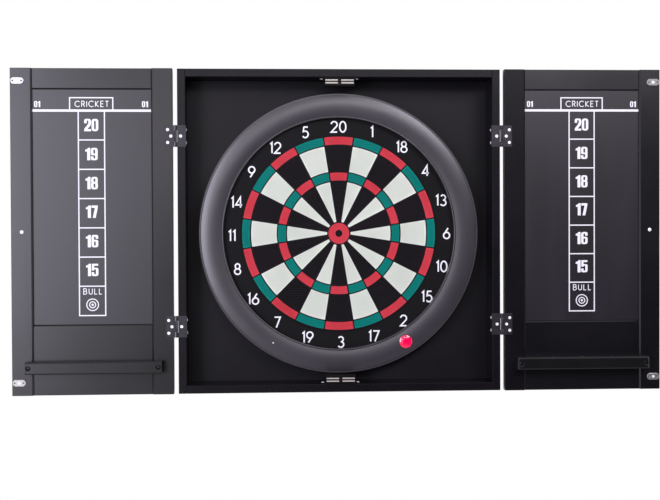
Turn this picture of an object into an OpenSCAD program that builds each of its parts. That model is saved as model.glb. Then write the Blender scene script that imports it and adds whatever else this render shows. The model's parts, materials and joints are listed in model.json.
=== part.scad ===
// Wall cabinet for a soft-tip dartboard, with two doors that carry scoreboards
// and dart holders. Millimetres. The origin is the middle of the four wall
// screws, in the plane of the wall: +X is to the right, +Y into the wall, +Z up.
// The doors stand open, flat beside the cabinet.

/* [Cabinet] */
// Space between the dartboard and each side of the cabinet
side_gap = 24; // [22:0.5:60]
// Space above the dartboard
top_gap = 29; // [28:0.5:60]
// Space below the dartboard
bottom_gap = 19; // [17:0.5:60]
// Depth from the wall to the front rim
cab_d = 85; // [83:1:120]
// Thickness of the side, top and bottom boards
wall_t = 16; // [13:0.5:17]
// Thickness of the back panel
back_t = 4; // [3:0.5:6]
// Depth of the grooves that hold the back panel
groove_d = 5; // [3:0.5:7]
// Thickness of the hanging rails behind the back panel
rail_t = 12; // [10:0.5:14]
// Height of each hanging rail
rail_h = 60; // [40:1:90]
// Diameter of the four wall-screw holes
wall_hole_d = 6; // [4:0.5:8]
// Distance between the wall-screw holes, side to side
wall_hole_pitch = 406.4; // [380:0.1:480]
// Chamfer along the cabinet's edges
cab_ease = 1; // [0.5:0.1:2]

/* [Doors] */
// Thickness of the door frame
door_t = 18; // [17:0.5:22]
// How far each door stands past the cabinet, above and below
door_overlap = 0.7; // [0:0.1:4]
// Gap between the two doors when they are shut
door_meet_gap = 3.6; // [2:0.1:8]
// Width of the two upright stiles of a door
stile_w = 42; // [40:1:50]
// Height of the top rail
top_rail_h = 42; // [36:1:60]
// Height of the bottom rail
bottom_rail_h = 139.6; // [100:0.1:160]
// How far the rails lie behind the face of the stiles
rail_setback = 4; // [2:0.5:5]
// Bevel on the inner edges of the door frame
frame_bevel = 3; // [1:0.5:3.5]
// Thickness of the door panel
panel_t = 4; // [3:0.5:5]
// Depth of the panel behind the outer face of the door
panel_inset = 5; // [4:0.5:6]
// Thickness of the scoreboard
score_t = 3; // [2:0.5:3.5]

/* [Dart holders] */
// Depth of the dart bar, from the door's face
bar_t = 25; // [18:1:26]
// Height of the dart bar
bar_h = 24; // [18:1:32]
// How far the bar laps over the stile on the hinge side
bar_lap_hinge = 20.4; // [14:0.2:30]
// How far the bar laps over the stile on the free side
bar_lap_free = 12.8; // [11:0.2:30]
// Height of the bar's underside above the door's bottom edge
bar_lift = 44.2; // [40:0.1:90]
// Bevel along the edges of the dart bar
bar_bevel = 2.5; // [1:0.5:4]
// Diameter of the holes that hold the darts
dart_hole_d = 9; // [7:0.5:12]
// Number of darts that each bar holds
dart_count = 3; // [1:1:5]
// Distance between the darts
dart_pitch = 60; // [30:1:60]

/* [Hinges and catches] */
// Gap between a door's edge and the cabinet's side
hinge_gap = 9.2; // [7:0.1:10]
// Height of a hinge
hinge_h = 43; // [40:1:60]
// Distance of a hinge's middle from the cabinet's end
hinge_end = 133.4; // [100:0.1:180]
// Thickness of the hinge leaves
leaf_t = 1.2; // [1:0.1:1.6]
// Width of the leaf on the door
leaf_w = 15; // [14:0.2:24]
// Depth of the flange that wraps onto the cabinet's inner wall
wrap_d = 15; // [12:0.5:20]
// Diameter of the hinge barrel
barrel_d = 5; // [4.6:0.1:5.6]
// Diameter of the hinge pin
pin_d = 2.4; // [2:0.1:2.8]
// Length of a strike plate
strike_l = 26; // [22:0.5:26]
// Height of a strike plate
strike_h = 13.5; // [12:0.5:16]
// Thickness of a strike plate
strike_t = 1.5; // [1:0.1:1.8]
// Distance of a strike plate's middle from the door's free edge
strike_inset = 14; // [14:0.5:18]
// Height of a catch housing
catch_h = 17.5; // [16:0.5:20]
// Depth of a catch housing
catch_d = 20; // [16:0.5:24]
// Diameter of a door knob
knob_d = 28; // [22:1:34]
// Length of a door knob
knob_l = 24; // [20:1:32]

/* [Dartboard] */
// Depth of the dartboard, from its hanger to the crest of the bezel
board_d = 38; // [36:0.5:38.5]
// Outer radius of the doubles
target_r = 197.3; // [180:0.1:210]
// Width of the ring that carries the numbers
number_ring_w = 36.2; // [34:0.1:46]
// Width of the bezel, from the number ring to its outer edge
bezel_w = 48.5; // [44:0.5:50]
// Width of the doubles
double_w = 18.3; // [12:0.1:20]
// Outer radius of the trebles
treble_r = 124.7; // [115:0.1:130]
// Width of the trebles
treble_w = 18.4; // [12:0.1:20]
// Radius of the outer bull
outer_bull_r = 22.5; // [20:0.5:26]
// Radius of the inner bull
inner_bull_r = 7; // [6:0.5:10]
// Thickness of the ribs between the segments
rib_t = 2.2; // [1.2:0.1:2.4]
// Clearance between a segment and the ribs
cell_gap = 0.3; // [0.2:0.05:0.5]
// Width of the lip round the bezel's edge
lip_w = 4; // [2.5:0.5:5]
// Rise of the bezel's dome above its sides
dome_rise = 2.5; // [1.5:0.5:4]
// Wall of the plastic mouldings
skin_t = 2.5; // [2:0.1:3]
// Diameter of the button
button_d = 25.4; // [22:0.2:26]
// Travel of the button
button_travel = 1.5; // [1:0.1:2]
// Travel of a bull when a dart strikes it
bull_travel = 0.8; // [0.4:0.1:0.8]
// Angle of the button and the lamp from the bottom of the board
control_angle = 31.4; // [28:0.1:33]

/* [Hidden] */
$fn = 64;

// Clearances
slip = 0.1;          // glued and slotted joints in the wood
through = 1;         // how far a cut runs past the face that it opens
screw_fit = 0.05;    // screws in their holes
fold_gap = 0.5;      // between the folded hinge leaves
knuckle_gap = 0.3;   // between neighbouring knuckles
knuckle_clear = 0.4; // between the barrel and the wood or the other leaf
pin_fit = 0.05;      // round the hinge pin
catch_air = 0.4;     // between a strike plate and the pole plates when shut
button_fit = 0.15;   // round the button
seat_gap = 0.1;      // left under a pressed bull or button

// Dartboard's outline
bezel_in_r = target_r + number_ring_w;
board_r = bezel_in_r + bezel_w;
control_r = bezel_in_r + bezel_w / 2;
board_z = (bottom_gap - top_gap) / 2;

// Cabinet
cab_w = 2 * (board_r + side_gap + wall_t);
cab_h = 2 * (board_r + wall_t) + top_gap + bottom_gap;
rim_y = -cab_d;
back_front_y = -rail_t - back_t;
inner_w = cab_w - 2 * wall_t;
inner_h = cab_h - 2 * wall_t;
wall_hole_z = inner_h / 2 - rail_h / 2;
hinge_z = cab_h / 2 - hinge_end;

// Hinge geometry, on the right-hand side
barrel_r = barrel_d / 2;
axis_x = cab_w / 2 + knuckle_clear + barrel_r;
axis_y = rim_y - leaf_t - fold_gap / 2;
end_knuckle_h = 10;  // height of the cabinet leaf's two knuckles
mid_knuckle_h = hinge_h - 2 * (end_knuckle_h + knuckle_gap);
leaf_x0 = axis_x + barrel_r + knuckle_clear;
hinge_screw_z = 12.7;
rim_screw_inset = 6.8;
rim_screw_x = cab_w / 2 - rim_screw_inset;
wrap_screw_y = rim_y + wrap_d / 2 + 0.5;

// Doors, open flat, on the right-hand side
door_h = cab_h + 2 * door_overlap;
door_x0 = cab_w / 2 + hinge_gap;
door_x1 = 2 * axis_x - door_meet_gap / 2;
door_back_y = rim_y + door_t;
rail_y = rim_y + rail_setback;
panel_y1 = door_back_y - panel_inset;
panel_y0 = panel_y1 - panel_t;
field_x0 = door_x0 + stile_w;
field_x1 = door_x1 - stile_w;
field_z0 = -door_h / 2 + bottom_rail_h;
field_z1 = door_h / 2 - top_rail_h;
leaf_screw_near = 3.3;
leaf_screw_far = 9.6;

// Dart bars
bar_x0 = field_x0 - bar_lap_hinge;
bar_x1 = field_x1 + bar_lap_free;
bar_z = -door_h / 2 + bar_lift + bar_h / 2;
bar_screw_inset = 7;
bar_screw_x0 = bar_x0 + min(bar_screw_inset, bar_lap_hinge / 2);
bar_screw_x1 = bar_x1 - min(bar_screw_inset, bar_lap_free / 2);
bar_bore_r = 4.6;
bar_bore_d = 4;

// Catches and strike plates
catch_z = inner_h / 2 - catch_h / 2;
strike_x = door_x1 - strike_inset;
station_x = 2 * axis_x - strike_x;
shut_gap = 2 * leaf_t + fold_gap;
pole_front_y = rim_y - shut_gap + strike_t + catch_air;
pole_l = 24.8;
pole_t = 1.8;
pole_d = 17;
magnet_t = 4;
magnet_inset = 2;
catch_front_y = rim_y + 0.5;
catch_half_w = station_x + pole_l / 2 + 1.5;
ear_l = 11;
ear_t = 2.5;
ear_d = 12;
ear_screw_x = catch_half_w + ear_l / 2;
ear_screw_y = catch_front_y + catch_d / 2;
knob_x = door_x1 - stile_w / 2;

// Screws: head diameter, shank diameter, length
hinge_screw = [6, 3, 12];
small_screw = [6.4, 3, 12];
strike_screw = [5.6, 2.8, 14];
bar_screw = [8.4, 4, bar_t + 8];
knob_screw = [7, 3.6, door_t + 14];
hanger_screw = [7, 3.4, back_t];
case_screw = [6, 3, 24];
head_rise = 0.4;     // height of a pan head, as a share of its radius
sink_share = 0.55;   // depth of a countersunk head, as a share of its radius

// Dartboard: heights run from the front of the back panel towards the player
hanger_t = 2;
floor_t = 3;
floor_h = hanger_t + floor_t;
mat_lift = 7;        // free height under the switch membrane
mat_seat_h = floor_h + mat_lift;
membrane_t = 1;
mat_t = 3;
grid_h0 = mat_seat_h + membrane_t + mat_t;
segment_h0 = grid_h0 + bull_travel + seat_gap;
face_depth = 10;     // depth of the segments' faces below the board's depth
face_h = board_d - face_depth;
rib_rise = 1;        // how far the ribs stand past the segments
grid_h1 = face_h + rib_rise;
ring_t = 3;
ring_sink = 1;       // how far the number ring lies behind the segments
ring_h1 = face_h - ring_sink;
ring_h0 = ring_h1 - ring_t;
crest_h = board_d + hanger_t;
side_h = crest_h - dome_rise;
flange_t = 2;        // ring inside the bezel that stands on the shell
flange_h0 = ring_h1;
bead_w = 3;          // width of the bead along the bezel's inner edge
bead_groove_w = 1;   // groove between the bead and the dome
bead_groove_d = 1;
lip_drop = 2;        // how far the lip lies behind the dome's edge
lip_t = 2.4;
lip_groove_w = 0.8;  // groove between the dome and the lip
lip_groove_d = 1.2;
lip_h1 = side_h - lip_drop;
dome_r0 = bezel_in_r + bead_w + bead_groove_w;
dome_r1 = board_r - lip_w;
dome_half = (dome_r1 - dome_r0) / 2;
dome_mid = (dome_r1 + dome_r0) / 2;
dome_arc_r = (dome_half * dome_half + dome_rise * dome_rise) / (2 * dome_rise);
shell_inset = 10;    // how far the shell's side lies inside the bezel's edge
shell_r = board_r - shell_inset;
grid_rim = 1;        // rim of the grid outside the doubles
grid_r = target_r + grid_rim;
ring_gap = 0.3;      // between the grid and the number ring
ring_r0 = grid_r + ring_gap;
ring_lap = 2;        // how far the number ring runs under the bezel
ring_r1 = bezel_in_r + ring_lap;
skirt_inset = 3.5;   // how far the outer skirt lies inside the number ring's edge
skirt_r = ring_r1 - skirt_inset;
skirt_t = 3;
shell_rib_w = 3;
shell_rib_r0 = 71;   // inner and outer ring of ribs under the mat
shell_rib_r1 = 130;
spoke_l = grid_r - shell_rib_r0 - 2;
segment_count = 20;
wedge_deg = 360 / segment_count;
double_r0 = target_r - double_w;
treble_r0 = treble_r - treble_w;
cell_half = rib_t / 2 + cell_gap;
case_screw_r = dome_mid + 2;
case_screw_count = 8;
boss_r = 4;
boss_split_h = floor_h + 14;
post_r = 3;
post_inset = 9;      // distance of the circuit board's posts from the controls' circle
post_angles = [-36, -12, 12, 36];
chip = [28, 9, 2];
board_plate_h0 = floor_h + mat_lift;
board_plate_t = 1.6;
board_plate_h1 = board_plate_h0 + board_plate_t;
board_plate_deg = 42;
switch_rise = 4.4;
switch_h = board_plate_h1 + switch_rise;
flange_of_button = 1.6;
button_dome = 2.4;   // rise of the button's dome
button_stand = 0.6;  // how far its straight side stands past the bezel
collar_w = 2;        // wall of the collar that guides the button
collar_l = 3;         // length of the collar below the dome
seat_clear = 0.3;     // between the button's flange and the collar
collar_h = crest_h - skin_t - collar_l;
button_seat_h = collar_h - seat_clear;
lamp_hole_r = 1.8;
cell_d = 14.2;
cell_l = 50;
cell_count = 3;
cell_pitch = cell_l + 1.6;
tray_clear_x = 3;    // room for the cells in the tray
tray_clear_y = 2.4;
tray_w = cell_count * cell_pitch + tray_clear_x;
tray_h = cell_d + tray_clear_y;
tray_lap_x = 1.5;    // how far the battery door laps over the tray's edges
tray_lap_y = 1;
tray_lid_t = 2;
tray_y = skirt_r + 2 + tray_h / 2 + 1;
hanger_w = 150;
hanger_h = 70;
stud_x = 55;
stud_r = 2.5;
stud_head_r = 5;

// ---------- shared shapes ----------

// Mirrors a right-hand piece to the other side when s is -1.
module on_side(s) {
    if (s < 0)
        mirror([1, 0, 0]) children();
    else
        children();
}

// Repeats a piece at the top and, mirrored, at the bottom.
module top_and_bottom() {
    children();
    mirror([0, 0, 1]) children();
}

// Turns a shape's +Z towards the player and moves it to x, y, z.
module facing_front(x, y, z) {
    translate([x, y, z]) rotate([90, 0, 0]) children();
}

// Puts a shape in the dartboard's frame: +Z towards the player.
module on_board() {
    translate([0, back_front_y, board_z]) rotate([90, 0, 0]) children();
}

// Board from corner a to corner b, with its edges along X, Y or Z chamfered.
module eased_board(a, b, along, ease) {
    size = b - a;
    u = along == 0 ? size[1] : size[0];
    v = along == 2 ? size[1] : size[2];
    translate(a)
        multmatrix(along == 0 ? [[0, 0, 1], [1, 0, 0], [0, 1, 0]]
            : along == 1 ? [[1, 0, 0], [0, 0, 1], [0, 1, 0]]
            : [[1, 0, 0], [0, 1, 0], [0, 0, 1]])
        linear_extrude(size[along])
            polygon([
                [ease, 0], [u - ease, 0], [u, ease], [u, v - ease],
                [u - ease, v], [ease, v], [0, v - ease], [0, ease]
            ]);
}

// Wood screw with a countersunk head: its face lies at z = 0, its shank below.
module flat_screw(screw, grow = 0) {
    head_r = screw[0] / 2 + grow;
    shank_r = screw[1] / 2 + grow;
    sink = screw[0] / 2 * sink_share;
    tip = -screw[2] - grow;
    rotate_extrude()
        polygon([[0, tip], [shank_r, tip], [shank_r, -sink], [head_r, 0], [0, 0]]);
}

// Wood screw with a domed head that stands on the plane z = 0.
module pan_screw(screw, grow = 0) {
    head_r = screw[0] / 2;
    rise = head_r * head_rise;
    dome = rise * 0.6;
    dome_r = (head_r * head_r + dome * dome) / (2 * dome);
    intersection() {
        cylinder(h = rise, r = head_r);
        translate([0, 0, rise - dome_r]) sphere(dome_r);
    }
    translate([0, 0, -screw[2] - grow])
        cylinder(h = screw[2] + grow + rise / 2, r = screw[1] / 2 + grow);
}

// Cross recess that is cut into a screw's head, down from z = top.
module cross_recess(top, d) {
    slot_w = d * 0.16;
    slot_l = d * 0.6;
    for (turn = [0, 90])
        rotate(turn) translate([-slot_l / 2, -slot_w / 2, top - d * 0.14])
            cube([slot_l, slot_w, d]);
}

module finished_flat_screw(screw) {
    difference() {
        flat_screw(screw);
        cross_recess(0, screw[0]);
    }
}

module finished_pan_screw(screw) {
    difference() {
        pan_screw(screw);
        cross_recess(screw[0] / 2 * head_rise, screw[0]);
    }
}

module shank_hole(screw) {
    translate([0, 0, -screw[2] - screw_fit])
        cylinder(h = screw[2] + through, r = screw[1] / 2 + screw_fit);
}

// ---------- cabinet ----------

// Places of the wall screws in the upper hanging rail and its mirror image.
module at_wall_holes() {
    for (x = [-wall_hole_pitch / 2, wall_hole_pitch / 2])
        for (z = [-wall_hole_z, wall_hole_z])
            translate([x, 0, z]) children();
}

module wall_hole() {
    rotate([90, 0, 0]) cylinder(h = rail_t + back_t + 2, r = wall_hole_d / 2);
}

// Groove for the back panel, cut into all four boards.
module back_groove() {
    half_w = inner_w / 2 + groove_d + slip;
    half_h = inner_h / 2 + groove_d + slip;
    translate([-half_w, back_front_y, -half_h]) cube([2 * half_w, back_t, 2 * half_h]);
}

// Places of the screws in one hinge, on the cabinet's side.
module at_rim_screw() {
    facing_front(rim_screw_x, rim_y - leaf_t, 0) children();
}

module at_wrap_screws() {
    for (z = [-hinge_screw_z, hinge_screw_z])
        translate([inner_w / 2 - leaf_t, wrap_screw_y, z]) rotate([0, -90, 0]) children();
}

module at_hinges() {
    for (z = [-hinge_z, hinge_z]) translate([0, 0, z]) children();
}

module cabinet_side(s) {
    color([0.13, 0.13, 0.14]) on_side(s) difference() {
        eased_board([inner_w / 2, rim_y, -cab_h / 2], [cab_w / 2, 0, cab_h / 2], 2, cab_ease);
        back_groove();
        at_hinges() {
            at_rim_screw() flat_screw(hinge_screw, screw_fit);
            at_wrap_screws() pan_screw(hinge_screw, screw_fit);
        }
    }
}

module cabinet_cap(s) {
    color([0.13, 0.13, 0.14]) mirror([0, 0, s < 0 ? 1 : 0]) difference() {
        eased_board([-inner_w / 2, rim_y, inner_h / 2], [inner_w / 2, 0, cab_h / 2], 0, cab_ease);
        back_groove();
        at_ear_screws() shank_hole(small_screw);
    }
}

module back_panel() {
    half_w = inner_w / 2 + groove_d;
    half_h = inner_h / 2 + groove_d;
    color([0.10, 0.10, 0.11]) difference() {
        translate([-half_w, back_front_y, -half_h]) cube([2 * half_w, back_t, 2 * half_h]);
        at_wall_holes() wall_hole();
        at_hanger_screws() flat_screw(hanger_screw, screw_fit);
    }
}

module hanging_rails() {
    color([0.62, 0.50, 0.36]) difference() {
        top_and_bottom()
            translate([-inner_w / 2, -rail_t, inner_h / 2 - rail_h])
                cube([inner_w, rail_t, rail_h]);
        at_wall_holes() wall_hole();
    }
}

// ---------- hinges ----------

// Part of the barrel from height z to z + h, with the web that joins it to a leaf at x.
module knuckle(z, h, x) {
    translate([min(x, axis_x), rim_y - leaf_t, z]) cube([abs(axis_x - x), leaf_t, h]);
    translate([axis_x, axis_y, z]) cylinder(h = h, r = barrel_r);
}

module pin_bore() {
    translate([axis_x, axis_y, -hinge_h]) cylinder(h = 2 * hinge_h, r = pin_d / 2 + pin_fit);
}

// Leaf that lies on the rim and wraps onto the inner wall.
module cabinet_leaf() {
    wrap_x = inner_w / 2 - leaf_t;
    difference() {
        union() {
            translate([wrap_x, rim_y - leaf_t, -hinge_h / 2])
                cube([cab_w / 2 - wrap_x, leaf_t, hinge_h]);
            translate([wrap_x, rim_y - leaf_t, -hinge_h / 2])
                cube([leaf_t, wrap_d + leaf_t, hinge_h]);
            for (z = [-hinge_h / 2, hinge_h / 2 - end_knuckle_h])
                knuckle(z, end_knuckle_h, cab_w / 2);
        }
        pin_bore();
        at_rim_screw() flat_screw(hinge_screw, screw_fit);
        at_wrap_screws() shank_hole(hinge_screw);
    }
}

module at_leaf_screws() {
    facing_front(door_x0 + leaf_screw_near, rim_y - leaf_t, 0) children();
    for (z = [-hinge_screw_z, hinge_screw_z])
        facing_front(door_x0 + leaf_screw_far, rim_y - leaf_t, z) children();
}

// Leaf that lies on the door's stile and bridges the gap beside it.
module door_leaf() {
    difference() {
        union() {
            translate([leaf_x0, rim_y - leaf_t, -hinge_h / 2])
                cube([door_x0 + leaf_w - leaf_x0, leaf_t, hinge_h]);
            knuckle(-mid_knuckle_h / 2, mid_knuckle_h, leaf_x0);
        }
        pin_bore();
        at_leaf_screws() flat_screw(hinge_screw, screw_fit);
    }
}

module hinge_cabinet_leaves(s) {
    color([0.30, 0.30, 0.31]) on_side(s) at_hinges() cabinet_leaf();
}

module hinge_door_leaves(s) {
    color([0.30, 0.30, 0.31]) on_side(s) at_hinges() door_leaf();
}

module hinge_pins() {
    color([0.55, 0.55, 0.56])
        for (s = [-1, 1]) on_side(s) at_hinges()
            translate([axis_x, axis_y, -hinge_h / 2]) cylinder(h = hinge_h, r = pin_d / 2);
}

module cabinet_hinge_screws() {
    color([0.80, 0.80, 0.80])
        for (s = [-1, 1]) on_side(s) at_hinges() {
            at_rim_screw() finished_flat_screw(hinge_screw);
            at_wrap_screws() finished_pan_screw(hinge_screw);
        }
}

module door_hinge_screws(s) {
    color([0.80, 0.80, 0.80]) on_side(s) at_hinges()
        at_leaf_screws() finished_flat_screw(hinge_screw);
}

// ---------- catches ----------

module at_ear_screws() {
    for (x = [-ear_screw_x, ear_screw_x])
        translate([x, ear_screw_y, inner_h / 2 - ear_t]) rotate([180, 0, 0]) children();
}

module at_stations() {
    for (x = [-station_x, station_x]) translate([x, 0, catch_z]) children();
}

module catch_housings() {
    pocket_h = magnet_t + 2 * pole_t;
    color([0.09, 0.09, 0.10]) top_and_bottom() difference() {
        union() {
            eased_board([-catch_half_w, catch_front_y, inner_h / 2 - catch_h],
                [catch_half_w, catch_front_y + catch_d, inner_h / 2], 0, 1);
            translate([-catch_half_w - ear_l, ear_screw_y - ear_d / 2, inner_h / 2 - ear_t])
                cube([2 * (catch_half_w + ear_l), ear_d, ear_t]);
        }
        at_stations() translate([-pole_l / 2, catch_front_y - 1, -pocket_h / 2])
            cube([pole_l, pole_front_y + pole_d - catch_front_y + 1, pocket_h]);
        at_ear_screws() shank_hole(small_screw);
    }
}

module catch_magnets() {
    color([0.20, 0.20, 0.21]) top_and_bottom() at_stations()
        translate([-pole_l / 2, pole_front_y + magnet_inset, -magnet_t / 2])
            cube([pole_l, pole_d - magnet_inset, magnet_t]);
}

module catch_pole_plates() {
    color([0.72, 0.72, 0.72]) top_and_bottom() at_stations()
        for (z = [-magnet_t / 2 - pole_t, magnet_t / 2])
            translate([-pole_l / 2, pole_front_y, z]) cube([pole_l, pole_d, pole_t]);
}

module catch_screws() {
    color([0.75, 0.75, 0.75]) top_and_bottom()
        at_ear_screws() finished_pan_screw(small_screw);
}

// ---------- doors ----------

// Groove along the inner edges of the frame, for the panel and the rails' tongues.
module frame_groove() {
    translate([field_x0 - groove_d - slip, panel_y0, -door_h])
        cube([field_x1 - field_x0 + 2 * (groove_d + slip), panel_t, 2 * door_h]);
}

// Stile as an upright board, with a bevel on the edge that faces the panel.
module stile(x0, x1, bevel_x) {
    sign = bevel_x == x0 ? 1 : -1;
    far_x = bevel_x == x0 ? x1 : x0;
    translate([0, 0, -door_h / 2]) linear_extrude(door_h) polygon([
        [bevel_x + sign * frame_bevel, rim_y], [far_x - sign * cab_ease, rim_y],
        [far_x, rim_y + cab_ease], [far_x, door_back_y - cab_ease],
        [far_x - sign * cab_ease, door_back_y], [bevel_x + sign * cab_ease, door_back_y],
        [bevel_x, door_back_y - cab_ease], [bevel_x, rim_y + frame_bevel]
    ]);
}

module at_strikes() {
    for (z = [-catch_z, catch_z]) facing_front(strike_x, rim_y - strike_t, z) children();
}

module at_knob_screw() {
    facing_front(knob_x, rim_y, 0) children();
}

module at_bar_screws() {
    for (x = [bar_screw_x0, bar_screw_x1])
        facing_front(x, rim_y - bar_t + bar_bore_d, bar_z) children();
}

module door_hinge_stile(s) {
    color([0.15, 0.15, 0.16]) on_side(s) difference() {
        stile(door_x0, field_x0, field_x0);
        frame_groove();
        at_hinges() at_leaf_screws() flat_screw(hinge_screw, screw_fit);
        at_bar_screws() shank_hole(bar_screw);
    }
}

module door_free_stile(s) {
    color([0.15, 0.15, 0.16]) on_side(s) difference() {
        stile(field_x1, door_x1, field_x1);
        frame_groove();
        at_strikes() flat_screw(strike_screw, screw_fit);
        at_knob_screw() shank_hole(knob_screw);
        at_bar_screws() shank_hole(bar_screw);
    }
}

// Cross rail from z0 to z1, with tongues in the stiles and a groove at groove_z.
module cross_rail(z0, z1, groove_z) {
    inner_bevel = min(frame_bevel, panel_y0 - rail_y - 1);
    sign = groove_z == z0 ? 1 : -1;
    outer_z = groove_z == z0 ? z1 : z0;
    difference() {
        union() {
            translate([field_x0, 0, 0]) rotate([90, 0, 90])
                linear_extrude(field_x1 - field_x0) polygon([
                    [rail_y, groove_z + sign * inner_bevel], [rail_y, outer_z - sign * cab_ease],
                    [rail_y + cab_ease, outer_z], [door_back_y - cab_ease, outer_z],
                    [door_back_y, outer_z - sign * cab_ease],
                    [door_back_y, groove_z + sign * cab_ease],
                    [door_back_y - cab_ease, groove_z],
                    [rail_y + inner_bevel, groove_z]
                ]);
            translate([field_x0 - groove_d, panel_y0, z0 + cab_ease])
                cube([field_x1 - field_x0 + 2 * groove_d, panel_t, z1 - z0 - 2 * cab_ease]);
        }
        translate([field_x0 - groove_d - 1, panel_y0, groove_z - groove_d - slip])
            cube([field_x1 - field_x0 + 2 * groove_d + 2, panel_t, 2 * (groove_d + slip)]);
    }
}

module door_top_rail(s) {
    color([0.15, 0.15, 0.16]) on_side(s) cross_rail(field_z1, door_h / 2, field_z1);
}

module door_bottom_rail(s) {
    color([0.15, 0.15, 0.16]) on_side(s) difference() {
        cross_rail(-door_h / 2, field_z0, field_z0);
        at_bar_screws() shank_hole(bar_screw);
    }
}

module door_panel(s) {
    color([0.16, 0.16, 0.17]) on_side(s)
        translate([field_x0 - groove_d, panel_y0, field_z0 - groove_d])
            cube([field_x1 - field_x0 + 2 * groove_d, panel_t, field_z1 - field_z0 + 2 * groove_d]);
}

module scoreboard(s) {
    color([0.18, 0.18, 0.20]) on_side(s)
        translate([field_x0 + slip, panel_y0 - score_t, field_z0 + slip])
            cube([field_x1 - field_x0 - 2 * slip, score_t, field_z1 - field_z0 - 2 * slip]);
}

// Bar with bevelled front edges and ends, and upright holes for the darts.
module dart_bar(s) {
    middle_x = (bar_x0 + bar_x1) / 2;
    first_x = middle_x - (dart_count - 1) / 2 * dart_pitch;
    front_y = rim_y - bar_t;
    color([0.12, 0.12, 0.13]) on_side(s) difference() {
        translate([bar_x0, front_y, bar_z - bar_h / 2])
            cube([bar_x1 - bar_x0, bar_t, bar_h]);
        for (z = [-1, 1]) translate([middle_x, front_y, bar_z + z * bar_h / 2])
            rotate([45, 0, 0]) cube([cab_w, bar_bevel * sqrt(2), bar_bevel * sqrt(2)], center = true);
        for (x = [bar_x0, bar_x1]) translate([x, front_y, bar_z])
            rotate([0, 0, 45]) cube([bar_bevel * sqrt(2), bar_bevel * sqrt(2), cab_h], center = true);
        for (i = [0 : dart_count - 1])
            translate([first_x + i * dart_pitch, rim_y - bar_t / 2, bar_z - bar_h])
                cylinder(h = 2 * bar_h, r = dart_hole_d / 2);
        at_bar_screws() {
            cylinder(h = bar_t, r = bar_bore_r);
            shank_hole(bar_screw);
        }
    }
}

module bar_screws(s) {
    color([0.75, 0.75, 0.75]) on_side(s) at_bar_screws() finished_pan_screw(bar_screw);
}

// Oval plate with a countersunk screw hole and two nail holes.
module strike_plate() {
    reach = (strike_l - strike_h) / 2;
    nail_x = strike_l / 3;
    translate([0, 0, -strike_t]) difference() {
        linear_extrude(strike_t) difference() {
            union() {
                square([2 * reach, strike_h], center = true);
                for (x = [-reach, reach]) translate([x, 0]) circle(strike_h / 2);
            }
            for (x = [-nail_x, nail_x]) translate([x, 0]) circle(1.2);
        }
        translate([0, 0, strike_t]) flat_screw(strike_screw, screw_fit);
    }
}

module strike_plates(s) {
    color([0.78, 0.78, 0.79]) on_side(s) at_strikes() strike_plate();
}

module plate_and_knob_screws(s) {
    color([0.75, 0.75, 0.75]) on_side(s) {
        at_strikes() finished_flat_screw(strike_screw);
        at_knob_screw() finished_pan_screw(knob_screw);
    }
}

// Turned knob on the outer face of the door.
module knob(s) {
    head_r = knob_d / 2;
    neck_r = knob_d * 0.24;
    base_r = knob_d * 0.36;
    base_h = knob_l / 6;
    color([0.12, 0.12, 0.13]) on_side(s) translate([knob_x, door_back_y, 0])
        rotate([-90, 0, 0]) difference() {
            rotate_extrude() difference() {
                union() {
                    square([base_r, base_h]);
                    square([neck_r, knob_l * 0.7]);
                    intersection() {
                        translate([0, knob_l - head_r]) circle(head_r);
                        translate([0, knob_l * 0.45]) square([head_r, knob_l]);
                    }
                }
                translate([neck_r + knob_l * 0.2, knob_l * 0.32]) circle(knob_l * 0.2);
            }
            translate([0, 0, -door_t]) rotate([180, 0, 0]) shank_hole(knob_screw);
        }
}

// ---------- dartboard ----------

function control_at(s) = [s * control_r * sin(control_angle), -control_r * cos(control_angle)];

module at_button() {
    translate(control_at(1)) children();
}

module at_lamp() {
    translate(control_at(-1)) children();
}

module at_case_screws() {
    for (i = [0 : case_screw_count - 1])
        rotate((i + 0.5) * 360 / case_screw_count) translate([case_screw_r, 0, 0]) children();
}

// Tube between two radii, from height h0 to height h1.
module tube(r0, r1, h0, h1) {
    translate([0, 0, h0]) difference() {
        cylinder(h = h1 - h0, r = r1, $fn = 128);
        translate([0, 0, -1]) cylinder(h = h1 - h0 + 2, r = r0, $fn = 128);
    }
}

module at_hanger_screws() {
    for (x = [-hanger_w / 2 + 12, hanger_w / 2 - 12])
        for (z = [-hanger_h / 2 + 12, hanger_h / 2 - 12])
            facing_front(x, back_front_y - hanger_t, board_z + z) children();
}

// Steel hanger with two headed studs for the keyholes of the shell.
module board_hanger() {
    color([0.60, 0.60, 0.61]) difference() {
        on_board() {
            translate([-hanger_w / 2, -hanger_h / 2, 0]) cube([hanger_w, hanger_h, hanger_t]);
            for (x = [-stud_x, stud_x]) translate([x, 0, 0]) {
                cylinder(h = floor_h + 2, r = stud_r);
                translate([0, 0, floor_h + seat_gap]) cylinder(h = 2, r = stud_head_r);
            }
        }
        at_hanger_screws() flat_screw(hanger_screw, screw_fit);
    }
}

module hanger_screws() {
    color([0.75, 0.75, 0.75]) at_hanger_screws() finished_flat_screw(hanger_screw);
}

// Keyhole in the shell's floor: wide enough for a stud's head at its lower end.
module keyhole() {
    drop = 14;
    translate([0, -drop, -1]) cylinder(h = floor_h + 2, r = stud_head_r + 0.5);
    translate([-stud_r - slip, -drop, -1]) cube([2 * (stud_r + slip), drop, floor_h + 2]);
    translate([0, 0, -1]) cylinder(h = floor_h + 2, r = stud_r + slip);
}

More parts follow.
